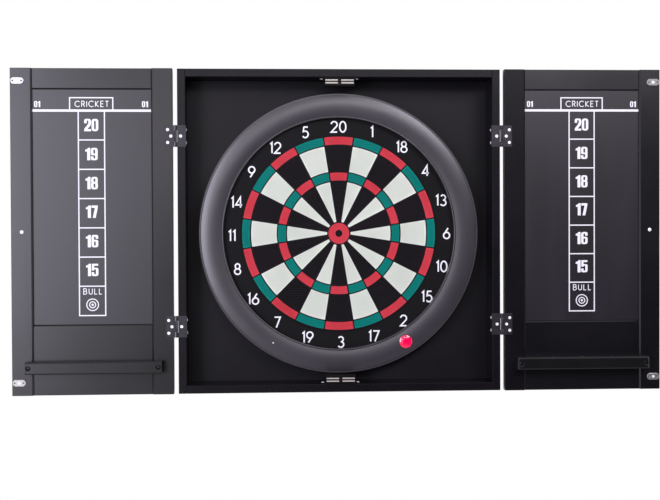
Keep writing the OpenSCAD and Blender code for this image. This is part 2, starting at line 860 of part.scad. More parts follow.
module board_shell() {
    color([0.08, 0.08, 0.09]) on_board() difference() {
        union() {
            translate([0, 0, hanger_t]) cylinder(h = floor_t, r = shell_r, $fn = 128);
            tube(shell_r - skin_t, shell_r, hanger_t, flange_h0);
            for (r = [shell_rib_r0, shell_rib_r1])
                tube(r, r + shell_rib_w, hanger_t, mat_seat_h);
            for (i = [0 : 7]) rotate(i * 45 + 22.5)
                translate([shell_rib_r0 + 1, -shell_rib_w / 2, hanger_t])
                    cube([spoke_l, shell_rib_w, mat_seat_h - hanger_t]);
            at_case_screws() cylinder(h = boss_split_h, r = boss_r);
            for (a = post_angles) rotate(a - 90)
                translate([control_r - post_inset, 0, hanger_t])
                    cylinder(h = board_plate_h0 - hanger_t, r = post_r);
            translate([-tray_w / 2 - skin_t, tray_y - tray_h / 2 - 1.5, hanger_t])
                cube([tray_w + 2 * skin_t, tray_h + 3, tray_h + 3]);
        }
        translate([-tray_w / 2, tray_y - tray_h / 2, hanger_t - 1])
            cube([tray_w, tray_h, tray_h + 2]);
        translate([-tray_w / 2 - tray_lap_x, tray_y - tray_h / 2 - tray_lap_y, hanger_t - through])
            cube([tray_w + 2 * tray_lap_x, tray_h + 2 * tray_lap_y, through + tray_lid_t]);
        translate([0, 0, -1]) cylinder(h = hanger_t + 1, r = board_r);
        at_case_screws() translate([0, 0, hanger_t]) rotate([180, 0, 0])
            flat_screw(case_screw, screw_fit);
        for (x = [-stud_x, stud_x]) translate([x, 0, 0]) keyhole();
    }
}

// Rubber mat on the switch membrane.
module sensor_mat() {
    color([0.20, 0.20, 0.20]) on_board() {
        translate([0, 0, mat_seat_h]) cylinder(h = membrane_t, r = target_r - 1, $fn = 128);
        translate([0, 0, mat_seat_h + membrane_t]) cylinder(h = mat_t, r = target_r, $fn = 128);
    }
}

// Curved circuit board with the button's switch and the lamp.
module circuit_board() {
    r0 = skirt_r + 1.5;
    r1 = shell_r - skin_t - 1;
    reach = 2 * board_r;
    color([0.10, 0.35, 0.18]) on_board() difference() {
        union() {
            intersection() {
                tube(r0, r1, board_plate_h0, board_plate_h1);
                translate([0, 0, board_plate_h0]) linear_extrude(board_plate_t) polygon([
                    [0, 0], [-reach * sin(board_plate_deg), -reach * cos(board_plate_deg)],
                    [0, -reach],
                    [reach * sin(board_plate_deg), -reach * cos(board_plate_deg)]
                ]);
            }
            at_button() {
                translate([-3, -3, board_plate_h0]) cube([6, 6, board_plate_t + 3.4]);
                translate([0, 0, board_plate_h0]) cylinder(h = switch_h - board_plate_h0, r = 1.7);
            }
            at_lamp() translate([0, 0, board_plate_h0]) cylinder(h = board_plate_t + 3, r = 2.5);
            translate([-chip[0] / 2, -control_r + 4, board_plate_h0])
                cube([chip[0], chip[1], board_plate_t + chip[2]]);
        }
        at_case_screws() translate([0, 0, board_plate_h0 - 1])
            cylinder(h = board_plate_t + 2, r = boss_r + 1);
    }
}

module batteries() {
    cell_z = hanger_t + tray_lid_t + slip + cell_d / 2;
    color([0.55, 0.50, 0.30]) on_board()
        for (i = [0 : cell_count - 1])
            translate([(i - cell_count / 2) * cell_pitch + 0.2, tray_y, cell_z])
                rotate([0, 90, 0]) {
                    cylinder(h = cell_l, r = cell_d / 2);
                    translate([0, 0, cell_l - 1]) cylinder(h = 2.3, r = cell_d * 0.19);
                }
}

module battery_door() {
    color([0.08, 0.08, 0.09]) on_board()
        translate([
            -tray_w / 2 - tray_lap_x + slip, tray_y - tray_h / 2 - tray_lap_y + slip, hanger_t
        ])
            cube([
                tray_w + 2 * (tray_lap_x - slip), tray_h + 2 * (tray_lap_y - slip), tray_lid_t
            ]);
}

// Dome of the bezel between radii r0 and r1, lowered by inset.
module bezel_dome(r0, r1, inset) {
    intersection() {
        translate([dome_mid, crest_h - dome_arc_r]) circle(dome_arc_r - inset, $fn = 180);
        translate([r0, ring_h1]) square([r1 - r0, crest_h - ring_h1]);
    }
}

// Outer profile of the bezel: a bead along its inner edge, a groove and the dome.
module bezel_face() {
    bezel_dome(dome_r0, dome_r1, 0);
    translate([bezel_in_r, ring_h1])
        square([dome_mid - bezel_in_r, side_h - bead_groove_d - ring_h1]);
    translate([bezel_in_r, ring_h1]) square([bead_w, side_h - ring_h1]);
    translate([bezel_in_r + bead_w / 2, side_h]) circle(bead_w / 2, $fn = 48);
}

// Lip round the bezel's edge, set off from the dome by a groove.
module bezel_lip() {
    difference() {
        translate([dome_r1 - skin_t / 2, lip_h1 - lip_t]) square([lip_w + skin_t / 2, lip_t]);
        translate([dome_r1, lip_h1 - lip_groove_d]) square([lip_groove_w, lip_groove_d + through]);
    }
}

module bezel() {
    color([0.06, 0.06, 0.07]) on_board() difference() {
        union() {
            rotate_extrude($fn = 180) {
                difference() {
                    bezel_face();
                    bezel_dome(bezel_in_r + skin_t, dome_r1 - skin_t, skin_t);
                }
                bezel_lip();
                translate([shell_r - skin_t, flange_h0])
                    square([dome_r1 - shell_r + skin_t, flange_t]);
            }
            intersection() {
                at_case_screws() translate([0, 0, boss_split_h]) cylinder(h = crest_h, r = boss_r);
                rotate_extrude($fn = 180) {
                    bezel_face();
                    translate([case_screw_r - boss_r - through, 0])
                        square([2 * (boss_r + through), side_h]);
                }
            }
            intersection() {
                at_button() translate([0, 0, collar_h]) cylinder(h = crest_h, r = button_d / 2 + collar_w);
                rotate_extrude($fn = 180) bezel_face();
            }
        }
        at_button() translate([0, 0, hanger_t]) cylinder(h = crest_h, r = button_d / 2 + button_fit);
        at_lamp() translate([0, 0, hanger_t]) cylinder(h = crest_h, r = lamp_hole_r);
        at_case_screws() translate([0, 0, hanger_t]) rotate([180, 0, 0])
            flat_screw(case_screw, screw_fit);
    }
}

module bezel_screws() {
    color([0.50, 0.50, 0.50]) on_board() at_case_screws()
        translate([0, 0, hanger_t]) rotate([180, 0, 0]) finished_flat_screw(case_screw);
}

// Number ring, with two skirts that stand on the shell's floor.
module number_ring() {
    color([0.05, 0.05, 0.06]) on_board() {
        tube(ring_r0, ring_r1, ring_h0, ring_h1);
        tube(ring_r0, ring_r0 + skirt_t, floor_h, ring_h1);
        tube(skirt_r - skirt_t, skirt_r, floor_h, ring_h1);
    }
}

// One of the twenty wedges of the target, with its sides half a wall inside its rib lines.
module wedge(i, wall_half) {
    tip = wall_half / sin(wedge_deg / 2);
    reach = 2 * target_r;
    rotate(90 + i * wedge_deg) polygon([
        [tip, 0],
        [tip + reach * cos(wedge_deg / 2), -reach * sin(wedge_deg / 2)],
        [tip + reach * cos(wedge_deg / 2), reach * sin(wedge_deg / 2)]
    ]);
}

module flat_ring(r0, r1) {
    difference() {
        circle(r1, $fn = 128);
        circle(r0, $fn = 128);
    }
}

// Radii between which the twenty cells of each band lie, from rib line to rib line.
cell_bands = [
    [outer_bull_r, treble_r0],
    [treble_r0, treble_r],
    [treble_r, double_r0],
    [double_r0, target_r]
];

module spider_grid() {
    color([0.04, 0.04, 0.05]) on_board() difference() {
        translate([0, 0, grid_h0])
            cylinder(h = grid_h1 - grid_h0, r = grid_r, $fn = 128);
        translate([0, 0, grid_h0 - through]) {
            cylinder(h = grid_h1 - grid_h0 + 2 * through, r = outer_bull_r - rib_t / 2, $fn = 96);
            for (band = cell_bands)
                linear_extrude(grid_h1 - grid_h0 + 2 * through) intersection() {
                    flat_ring(band[0] + rib_t / 2, band[1] - rib_t / 2);
                    union() {
                        for (i = [0 : segment_count - 1]) wedge(i, rib_t / 2);
                    }
                }
        }
    }
}

// Every second wedge, from number first, of the ring bands between the given radii.
module segments(first, bands) {
    translate([0, 0, segment_h0]) linear_extrude(face_h - segment_h0)
        for (band = bands) intersection() {
            flat_ring(band[0] + cell_half, band[1] - cell_half);
            union() {
                for (i = [first : 2 : segment_count - 1]) wedge(i, cell_half);
            }
        }
}

single_bands = [cell_bands[0], cell_bands[2]];
score_bands = [cell_bands[1], cell_bands[3]];

module black_singles() {
    color([0.08, 0.08, 0.09]) on_board() segments(0, single_bands);
}

module white_singles() {
    color([0.78, 0.76, 0.72]) on_board() segments(1, single_bands);
}

module red_segments() {
    color([0.75, 0.12, 0.12]) on_board() segments(0, score_bands);
}

module green_segments() {
    color([0.05, 0.38, 0.28]) on_board() segments(1, score_bands);
}

module outer_bull() {
    color([0.75, 0.12, 0.12]) on_board()
        tube(inner_bull_r + cell_gap, outer_bull_r - cell_half, segment_h0, face_h);
}

module inner_bull() {
    color([0.05, 0.05, 0.06]) on_board()
        translate([0, 0, segment_h0]) cylinder(h = face_h - segment_h0, r = inner_bull_r);
}

// Domed button with a flange behind the bezel and a stem above the switch.
module button_cap() {
    dome = button_dome;
    rim_h = crest_h + button_stand;
    r = button_d / 2;
    dome_r = (r * r + dome * dome) / (2 * dome);
    stem_h0 = switch_h + button_travel + seat_gap;
    color([0.72, 0.10, 0.10]) on_board() at_button() rotate_extrude() {
        translate([0, button_seat_h - flange_of_button])
            square([r, rim_h - button_seat_h + flange_of_button]);
        translate([0, button_seat_h - flange_of_button]) square([r + flange_of_button, flange_of_button]);
        translate([0, stem_h0]) square([2, button_seat_h - stem_h0]);
        intersection() {
            translate([0, rim_h + dome - dome_r]) circle(dome_r);
            translate([0, rim_h]) square([r, dome]);
        }
    }
}

module lamp_lens() {
    color([0.90, 0.90, 0.88]) on_board() at_lamp()
        translate([0, 0, board_plate_h1 + 3]) cylinder(h = crest_h + 0.3 - board_plate_h1 - 3, r = 1.7);
}

// ---------- nodes ----------

cabinet_side(-1);  // cabinet_side_left
cabinet_side(1);  // cabinet_side_right
cabinet_cap(1);  // cabinet_top
cabinet_cap(-1);  // cabinet_bottom
back_panel();
hanging_rails();
hinge_cabinet_leaves(-1);  // left_hinge_cabinet_leaves
hinge_cabinet_leaves(1);  // right_hinge_cabinet_leaves
hinge_pins();
cabinet_hinge_screws();
hinge_door_leaves(-1);  // left_hinge_door_leaves
hinge_door_leaves(1);  // right_hinge_door_leaves
catch_housings();
catch_magnets();
catch_pole_plates();
catch_screws();
door_hinge_stile(-1);  // left_door_hinge_stile
door_free_stile(-1);  // left_door_free_stile
door_top_rail(-1);  // left_door_top_rail
door_bottom_rail(-1);  // left_door_bottom_rail
door_panel(-1);  // left_door_panel
scoreboard(-1);  // left_scoreboard
dart_bar(-1);  // left_dart_bar
bar_screws(-1);  // left_bar_screws
strike_plates(-1);  // left_strike_plates
plate_and_knob_screws(-1);  // left_plate_and_knob_screws
knob(-1);  // left_knob
door_hinge_screws(-1);  // left_hinge_screws
door_hinge_stile(1);  // right_door_hinge_stile
door_free_stile(1);  // right_door_free_stile
door_top_rail(1);  // right_door_top_rail
door_bottom_rail(1);  // right_door_bottom_rail
door_panel(1);  // right_door_panel
scoreboard(1);  // right_scoreboard
dart_bar(1);  // right_dart_bar
bar_screws(1);  // right_bar_screws
strike_plates(1);  // right_strike_plates
plate_and_knob_screws(1);  // right_plate_and_knob_screws
knob(1);  // right_knob
door_hinge_screws(1);  // right_hinge_screws
board_hanger();
hanger_screws();
board_shell();
sensor_mat();
circuit_board();
batteries();
battery_door();
bezel();
bezel_screws();
number_ring();
spider_grid();
black_singles();
white_singles();
red_segments();
green_segments();
outer_bull();
inner_bull();
button_cap();
lamp_lens();
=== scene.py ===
# %% [markdown]
# # A dartboard cabinet, dressed for a studio picture
#
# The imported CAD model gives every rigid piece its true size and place. This lesson adds
# what a CAD model lacks: finishes with depth, printed numbers and lines, the pin-holed
# faces of the scoring segments, a studio and a camera. Lengths are in metres, as Blender
# has them, and `mm` turns millimetres into metres where a real size is easier to read.

import json
import math

import bmesh
import bpy
from mathutils import Matrix, Vector
from mathutils.geometry import delaunay_2d_cdt


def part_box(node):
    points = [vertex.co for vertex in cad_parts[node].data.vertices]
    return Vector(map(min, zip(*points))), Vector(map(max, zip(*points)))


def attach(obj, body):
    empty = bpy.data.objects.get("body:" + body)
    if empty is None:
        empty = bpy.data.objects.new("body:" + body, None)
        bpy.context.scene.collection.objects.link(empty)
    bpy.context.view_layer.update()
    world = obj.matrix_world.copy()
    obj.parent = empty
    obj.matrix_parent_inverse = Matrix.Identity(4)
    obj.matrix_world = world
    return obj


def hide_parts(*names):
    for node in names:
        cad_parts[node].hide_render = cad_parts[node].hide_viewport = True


mm = 0.001
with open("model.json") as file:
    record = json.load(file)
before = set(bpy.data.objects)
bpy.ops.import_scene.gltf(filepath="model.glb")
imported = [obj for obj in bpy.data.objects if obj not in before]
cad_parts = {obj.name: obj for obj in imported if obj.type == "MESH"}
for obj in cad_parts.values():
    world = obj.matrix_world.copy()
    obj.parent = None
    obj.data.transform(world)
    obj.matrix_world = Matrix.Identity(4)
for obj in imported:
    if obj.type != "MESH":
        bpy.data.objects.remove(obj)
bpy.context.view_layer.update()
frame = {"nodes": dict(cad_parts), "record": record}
nodes = frame["nodes"]

# %% [markdown]
# ## Colours and nodes
#
# Paint makers and screens give colours as sRGB hex codes, while a shader works with linear
# light. One function turns one into the other, so that every colour below can be written
# the way a designer writes it. Another adds one shader node with its settings and links:
# building a material then reads as a list of what is wired to what.


# %% Colour and node helpers
def paint(code):
    """Linear RGBA of an sRGB hex code such as '#d83a4a'."""
    shares = [int(code[i : i + 2], 16) / 255 for i in (1, 3, 5)]
    return [s / 12.92 if s <= 0.04045 else ((s + 0.055) / 1.055) ** 2.4 for s in shares] + [1]


def wire(tree, kind, settings=(), links=()):
    """Adds one node. A setting is an input's name or place, or the node's own property.

    The stops of a colour ramp are pairs of a position and a hex code.
    """
    made = tree.nodes.new("ShaderNode" + kind)
    for name, value in dict(settings).items():
        if name == "stops":
            for stop, (position, code) in zip(made.color_ramp.elements, value):
                stop.position, stop.color = position, paint(code)
        elif isinstance(name, int) or name in made.inputs:
            made.inputs[name].default_value = value
        else:
            setattr(made, name, value)
    for name, socket in dict(links).items():
        tree.links.new(socket, made.inputs[name])
    return made


def start(name, **shader_settings):
    """A new material, its tree, its Principled shader and the place on the object."""
    material = bpy.data.materials.new(name)
    material.use_nodes = True
    tree = material.node_tree
    shader = tree.nodes["Principled BSDF"]
    for socket, value in shader_settings.items():
        shader.inputs[socket.replace("_", " ")].default_value = value
    place = wire(tree, "TexCoord").outputs["Object"]
    return material, tree, shader, place


print("pure red is", [round(v, 3) for v in paint("#ff0000")])

# %% [markdown]
# ## Lacquered boards
#
# The cabinet, the door frames and the dart bars are MDF with a sprayed black lacquer. A
# sprayed coat is never quite flat: it dries to a faint orange peel, one or two millimetres
# from crest to crest, and its gloss drifts a little where the coat is thinner. A bump from
# fine noise gives the peel, and a broad noise, with clouds about 110 mm across, moves the
# roughness and the tone. A film of dust and handling greys the black slightly. The doors
# shine more than the box does.


# %% Lacquer
def lacquer(name, deep, worn, rough, peel_mm, shine, peel_depth=0.05):
    """Sprayed lacquer: its tone runs from deep to worn, its gloss drifts round rough."""
    material, tree, shader, place = start(name, IOR=1.5, Specular_IOR_Level=shine)
    rough_drift = 0.1
    cloud = wire(
        tree,
        "TexNoise",
        {"Scale": 1 / (111 * mm), "Detail": 4.0, "Roughness": 0.6},
        {"Vector": place},
    )
    stops = [(0.35, deep), (0.7, worn)]
    tone = wire(tree, "ValToRGB", {"stops": stops}, {"Fac": cloud.outputs["Fac"]})
    gloss = wire(
        tree,
        "MapRange",
        {"To Min": rough - rough_drift / 2, "To Max": rough + rough_drift / 2},
        {"Value": cloud.outputs["Fac"]},
    )
    peel = wire(
        tree,
        "TexNoise",
        {"Scale": 1 / (peel_mm * mm), "Detail": 2.0, "Roughness": 0.4},
        {"Vector": place},
    )
    bump = wire(
        tree,
        "Bump",
        {"Strength": 0.35, "Distance": peel_depth * mm},
        {"Height": peel.outputs["Fac"]},
    )
    tree.links.new(tone.outputs["Color"], shader.inputs["Base Color"])
    tree.links.new(gloss.outputs["Result"], shader.inputs["Roughness"])
    tree.links.new(bump.outputs["Normal"], shader.inputs["Normal"])
    return material


materials = {
    "lacquered_board": lacquer("satin_black_lacquer", "#0b090d", "#110e14", 0.34, 1.6, 0.17),
    "back_board": lacquer("matt_black_board", "#0b090d", "#100d13", 0.45, 1.2, 0.18),
    "door_lacquer": lacquer("satin_black_door_lacquer", "#08070b", "#0d0b10", 0.3, 1.6, 0.46),
    "door_panel": lacquer("satin_black_panel_lacquer", "#09080b", "#0e0c10", 0.32, 1.6, 0.45),
    "bar_lacquer": lacquer("satin_black_bar_lacquer", "#09080a", "#0e0c0f", 0.32, 1.2, 0.4),
    "knob": lacquer("black_knob_lacquer", "#0c0b0e", "#141218", 0.25, 1.4, 0.5),
}
print("lacquers:", sorted(materials))

# %% [markdown]
# ## Scoreboard sheet
#
# The writing field is a charcoal dry-wipe sheet. Wiping leaves a soft haze of old marks in
# long upright strokes, so one stretched noise lightens the sheet a little and dulls it in
# places: its strokes are about 70 mm wide and 280 mm long. A fine noise gives the film's
# grit, one millimetre from grain to grain, which is as fine as shows.

# %% Scoreboard sheet
material, tree, shader, place = start(
    "charcoal_dry_wipe_sheet", IOR=1.5, Specular_IOR_Level=0.55
)
stretched = wire(tree, "Mapping", {"Scale": (5.0, 5.0, 1.2)}, {"Vector": place})
haze = wire(
    tree,
    "TexNoise",
    {"Scale": 1 / (333 * mm), "Detail": 6.0},
    {"Vector": stretched.outputs[0]},
)
stops = [(0.3, "#110f14"), (0.75, "#19161d")]
tone = wire(tree, "ValToRGB", {"stops": stops}, {"Fac": haze.outputs["Fac"]})
dull = wire(tree, "MapRange", {"To Min": 0.34, "To Max": 0.42}, {"Value": haze.outputs["Fac"]})
grit = wire(tree, "TexNoise", {"Scale": 1 / (1.11 * mm), "Detail": 1.0}, {"Vector": place})
bump = wire(
    tree, "Bump", {"Strength": 0.2, "Distance": 0.03 * mm}, {"Height": grit.outputs["Fac"]}
)
tree.links.new(tone.outputs["Color"], shader.inputs["Base Color"])
tree.links.new(dull.outputs["Result"], shader.inputs["Roughness"])
tree.links.new(bump.outputs["Normal"], shader.inputs["Normal"])
materials["scoreboard"] = material
print("scoreboard sheet:", material.name)

# %% [markdown]
# ## Moulded plastics
#
# ABS and polypropylene mouldings copy the spark-eroded surface of their steel mould: an
# even grain of about half a millimetre that breaks the gloss. Pigment is mixed unevenly, so
# the colour drifts by a shade over some 70 mm. The bezel's mould is polished more than the
# rest, while the segments and the number ring are made matt, so that they don't shine at
# the player.


# %% Moulded plastic
def moulded(name, colour, shade, rough, grain_mm, depth_mm, **more):
    """Coloured moulding with an eroded grain; shade is the darker end of its colour."""
    material, tree, shader, place = start(name, IOR=1.53, **more)
    drift = wire(tree, "TexNoise", {"Scale": 1 / (71.4 * mm), "Detail": 3.0}, {"Vector": place})
    stops = [(0.3, shade), (0.65, colour)]
    tone = wire(tree, "ValToRGB", {"stops": stops}, {"Fac": drift.outputs["Fac"]})
    grain = wire(
        tree, "TexNoise", {"Scale": 1 / (grain_mm * mm), "Detail": 2.0}, {"Vector": place}
    )
    gloss = wire(
        tree,
        "MapRange",
        {"To Min": rough - 0.05, "To Max": rough + 0.05},
        {"Value": grain.outputs["Fac"]},
    )
    bump = wire(
        tree,
        "Bump",
        {"Strength": 0.4, "Distance": depth_mm * mm},
        {"Height": grain.outputs["Fac"]},
    )
    tree.links.new(tone.outputs["Color"], shader.inputs["Base Color"])
    tree.links.new(gloss.outputs["Result"], shader.inputs["Roughness"])
    tree.links.new(bump.outputs["Normal"], shader.inputs["Normal"])
    return material


def matt_moulding(name, colour, shade, rough, grain_mm=0.6, depth_mm=0.03):
    """A moulding that hardly shines."""
    return moulded(name, colour, shade, rough, grain_mm, depth_mm, Specular_IOR_Level=0.1)


materials.update(
    {
        "bezel_plastic": moulded(
            "black_abs_bezel", "#343036", "#2e2a30", 0.35, 0.6, 0.02, Specular_IOR_Level=0.65
        ),
        "ring_plastic": matt_moulding("black_abs_number_ring", "#0e0d0f", "#0b0a0c", 0.6),
        "grid_plastic": matt_moulding("black_grid_plastic", "#100e12", "#0b0a0d", 0.6, 0.5, 0.02),
        "shell_plastic": moulded("black_abs_shell", "#15151a", "#101014", 0.5, 0.7, 0.05),
        "catch_plastic": matt_moulding("black_catch_plastic", "#0b0a0c", "#080709", 0.5),
        "black_segment": matt_moulding("black_segment_plastic", "#171217", "#131013", 0.6, 0.5),
        "white_segment": matt_moulding("white_segment_plastic", "#ebf1e2", "#e4eadb", 0.6, 0.5),
        "red_segment": matt_moulding("red_segment_plastic", "#dd4450", "#d43d48", 0.6, 0.5),
        "green_segment": matt_moulding("green_segment_plastic", "#008579", "#007d72", 0.6, 0.5),
        "circuit_board": moulded("green_solder_mask", "#155c30", "#0e4a26", 0.25, 1.5, 0.05),
        "rubber_mat": moulded("black_rubber", "#151515", "#0e0e0e", 0.8, 0.8, 0.1),
        "battery_case": moulded("printed_battery_sleeve", "#b79a3a", "#a98a2c", 0.35, 2.0, 0.01),
        "magnet": moulded("ferrite_magnet", "#2b2b2d", "#222224", 0.6, 0.4, 0.05),
    }
)
print("plastics:", len(materials))

# %% [markdown]
# The button is a clear tinted plastic and the lamp is a milky lens; both let some light
# through. The button's saturated colour is painted light: its plastic gives off a little pink
# light of its own, though no lamp is behind it.

# %% Button and lamp
materials["button_plastic"] = moulded(
    "tinted_clear_button",
    "#ff0f55",
    "#f50848",
    0.12,
    3.0,
    0.005,
    Transmission_Weight=0.25,
    Coat_Weight=0.6,
    Coat_Roughness=0.05,
)
materials["lens_plastic"] = moulded(
    "milky_lens", "#f7f7f2", "#efefe8", 0.15, 3.0, 0.005, Transmission_Weight=0.3
)
# painted light: the button's plastic emits pink light of its own
painted_glow = materials["button_plastic"].node_tree.nodes["Principled BSDF"]
painted_glow.inputs["Emission Color"].default_value = paint("#ff0050")
painted_glow.inputs["Emission Strength"].default_value = 0.35
print("button glow:", painted_glow.inputs["Emission Strength"].default_value)

# %% [markdown]
# ## Metals
#
# The hinges are steel with a dark nickel finish, a cloudy satin. Screws, pole plates and the
# board's hanger are bright zinc: a bluish plate with fine random scratches. Zinc that has
# clouded scatters light as well as mirroring it, so its metallic value stays below one. The
# strike plates are a dulled chrome.


# %% Plated steel
def plated(name, colour, shade, rough, scratch_mm, metallic=1.0, drift=0.16):
    """Plated steel whose gloss is broken by scratches about scratch_mm apart."""
    material, tree, shader, place = start(name, Metallic=metallic)
    rub = wire(tree, "Mapping", {"Scale": (1.0, 1.0, 6.0)}, {"Vector": place})
    scratch = wire(
        tree,
        "TexNoise",
        {"Scale": 1 / (scratch_mm * mm), "Detail": 4.0, "Distortion": 0.6},
        {"Vector": rub.outputs[0]},
    )
    stops = [(0.3, shade), (0.7, colour)]
    tone = wire(tree, "ValToRGB", {"stops": stops}, {"Fac": scratch.outputs["Fac"]})
    gloss = wire(
        tree,
        "MapRange",
        {"To Min": rough - drift / 2, "To Max": rough + drift / 2},
        {"Value": scratch.outputs["Fac"]},
    )
    bump = wire(
        tree, "Bump", {"Strength": 0.2, "Distance": 0.01 * mm}, {"Height": scratch.outputs["Fac"]}
    )
    tree.links.new(tone.outputs["Color"], shader.inputs["Base Color"])
    tree.links.new(gloss.outputs["Result"], shader.inputs["Roughness"])
    tree.links.new(bump.outputs["Normal"], shader.inputs["Normal"])
    return material


materials.update(
    {
        "hinge_steel": plated("dark_nickel_steel", "#4a484d", "#060507", 0.45, 2.2, 0.8),
        "pin_steel": plated("plain_steel_pin", "#a8a8aa", "#8f8f92", 0.3, 0.5),
        "plated_screw": plated("bright_zinc_screw", "#ffffff", "#f0f0f2", 0.45, 0.5, 0.25),
        "pole_steel": plated("zinc_pole_plate", "#d8d1c5", "#bfb8ab", 0.4, 0.6, 0.3),
        "hanger_steel": plated("zinc_hanger_plate", "#bfc0c2", "#a5a6a9", 0.35, 0.8),
        "strike_chrome": plated("chromed_strike", "#a9a7a4", "#8f8d8b", 0.3, 0.6, 0.6, 0.06),
        "black_screw": plated("black_oxide_screw", "#2a2a2b", "#1e1e1f", 0.4, 0.5, 0.8),
    }
)
print("metals added, now", len(materials))

# %% [markdown]
# ## Bare pine
#
# The hanging rails behind the back panel are left bare. Pine shows growth rings as soft
# bands, about five millimetres apart, that wander along the length of the board. A wave
# texture of scale one has twenty radians to the metre, which gives the scale for that gap.

# %% Bare pine
material, tree, shader, place = start("sawn_pine", IOR=1.5, Roughness=0.65)
along = wire(tree, "Mapping", {"Scale": (0.12, 1.0, 1.0)}, {"Vector": place})
ring_gap = 5.236 * mm
rings = wire(
    tree,
    "TexWave",
    {
        "bands_direction": "Z",
        "Scale": math.tau / (20 * ring_gap),
        "Distortion": 7.0,
        "Detail": 3.0,
        "Detail Scale": 2.0,
    },
    {"Vector": along.outputs[0]},
)
stops = [(0.0, "#c79f6b"), (1.0, "#dcbd8c")]
tone = wire(tree, "ValToRGB", {"stops": stops}, {"Fac": rings.outputs["Fac"]})
fibre = wire(
    tree, "Bump", {"Strength": 0.3, "Distance": 0.1 * mm}, {"Height": rings.outputs["Fac"]}
)
tree.links.new(tone.outputs["Color"], shader.inputs["Base Color"])
tree.links.new(fibre.outputs["Normal"], shader.inputs["Normal"])
materials["bare_wood"] = material
print("materials in all:", len(materials))

# %% [markdown]
# ## Dress the CAD nodes
#
# The record says which material slot each node takes its finish from, so one loop gives all
# nodes theirs. The stile at the right hinges takes the box's lacquer, which shines less, and
# not the one that the record gives it: that is painted shade, which makes this stile darker
# than the rest of its door.

# %% Assign the finishes
# painted shade: the right hinge stile takes the box's duller lacquer so it reads darker than its
# door
painted_shade_finish = {"right_door_hinge_stile": "lacquered_board"}
for part in frame["record"]["subparts"]:
    mesh = nodes[part["node"]].data
    mesh.materials.clear()
    finish = painted_shade_finish.get(part["node"], part["material_slot"])
    mesh.materials.append(materials[finish])

# %% [markdown]
# ## Softened edges
#
# Sawn board keeps a sharp edge only in CAD: sanding and lacquer round it by half a
# millimetre or so, and the rounding draws a fine light line along it. The CAD mesh has
# separate corners for every face, so they are welded first and flat triangles are merged;
# then a bevel modifier rounds the edges without a change to the mesh itself. Stamped hinge
# leaves keep a tighter edge than board does.


# %% Round the edges
def soften(name, width_mm):
    """Rounds the sharp edges of a CAD node by width_mm."""
    made = nodes[name]
    weld = made.modifiers.new("weld", "WELD")
    weld.merge_threshold = 0.005 * mm
    flat = made.modifiers.new("merge_flat_faces", "DECIMATE")
    flat.decimate_type = "DISSOLVE"
    flat.angle_limit = math.radians(0.5)
    edge = made.modifiers.new("rounded_edges", "BEVEL")
    edge.width, edge.segments = width_mm * mm, 2
    edge.limit_method, edge.angle_limit = "ANGLE", math.radians(50)
    edge.use_clamp_overlap = False
    split = made.modifiers.new("keep_edges_crisp", "EDGE_SPLIT")
    split.split_angle = math.radians(30)


boards = [n for n in nodes if n.startswith("cabinet_") and "screw" not in n]
boards += [n for n in nodes if n.endswith(("_stile", "_rail"))]
fittings = [n for n in nodes if n.endswith(("_dart_bar", "_strike_plates"))]
leaves = [n for n in nodes if n.endswith("_leaves")]
for names, width_mm in ((boards, 0.7), (fittings, 0.6), (leaves, 0.25)):
    for name in names:
        soften(name, width_mm)
print("softened:", sorted(boards + fittings + leaves))

# %% [markdown]
# ## Perforated segments
#
# A soft-tip dart holds because its point pushes into one of thousands of small holes, about
# four millimetres apart in staggered rows. A bump map would leave their edges flat in raking
# light, so each segment is rebuilt from its CAD outline with real holes: the face is
# triangulated round a honeycomb of six-sided holes, each with walls and a floor.
#
# A segment lies between two radii and two rib lines that pass the centre at a fixed
# distance, and the rib lines are nine degrees either side of its middle.

# %% Sizes of the target
grid_low, grid_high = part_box("spider_grid")
board_z = (grid_low.z + grid_high.z) / 2
face_y, foot_y = (corner.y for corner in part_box("white_singles"))
rib, clear = 2.2 * mm, 0.3 * mm
cell = rib / 2 + clear
inner_bull_r, bull_r = 7.0 * mm, 22.5 * mm
treble_in_r, treble_r = 106.3 * mm, 124.7 * mm
double_in_r, double_r = 179.0 * mm, 197.3 * mm
hole_r, hole_pitch, hole_depth = 1.25 * mm, 4.0 * mm, 8.0 * mm
hole_edge, bull_edge = 0.45 * mm, 0.5 * mm  # solid plastic between a hole and the edge
weld_gap = 1e-7  # metres; corners nearer than this count as one
print("face at y", round(face_y, 4), "centre at z", round(board_z, 4))


# %% Outline of one segment
def arc(cx, cz, rx, rz, start_deg, end_deg, steps):
    """Points along an ellipse's arc."""
    turn = [math.radians(start_deg + (end_deg - start_deg) * i / steps) for i in range(steps + 1)]
    return [(cx + rx * math.cos(t), cz + rz * math.sin(t)) for t in turn]


def segment_outline(middle_deg, r0, r1):
    """Outline of a segment, anticlockwise, round a middle line at middle_deg."""
    outer_half = 9 - math.degrees(math.asin(cell / r1))
    inner_half = 9 - math.degrees(math.asin(cell / r0))
    steps = max(3, round(r1 * math.radians(2 * outer_half) / (4 * mm)))
    outer = arc(0, 0, r1, r1, middle_deg - outer_half, middle_deg + outer_half, steps)
    inner = arc(0, 0, r0, r0, middle_deg + inner_half, middle_deg - inner_half, max(2, steps // 2))
    return outer + inner


def inside(point, r0, r1, middle_deg, margin):
    """Whether a hole's centre keeps margin from the segment's edges."""
    r = math.hypot(*point)
    if not r0 + margin < r < r1 - margin:
        return False
    if middle_deg is None:
        return True
    off = math.atan2(point[1], point[0]) - math.radians(middle_deg)
    off = abs((off + math.pi) % (2 * math.pi) - math.pi)
    return r * math.sin(math.radians(9) - off) > cell + margin


double = segment_outline(90, double_in_r + cell, double_r - cell)
print("corners of a double's outline:", len(double))

# %% [markdown]
# `delaunay_2d_cdt` is Blender's own constrained triangulation. It gets the outline and the
# holes as edges and returns triangles that respect them. A triangle whose three corners
# belong to the same hole lies in that hole and is dropped. Walls then run from each edge to
# the hole's floor or to the back, so the segment stays a closed solid.


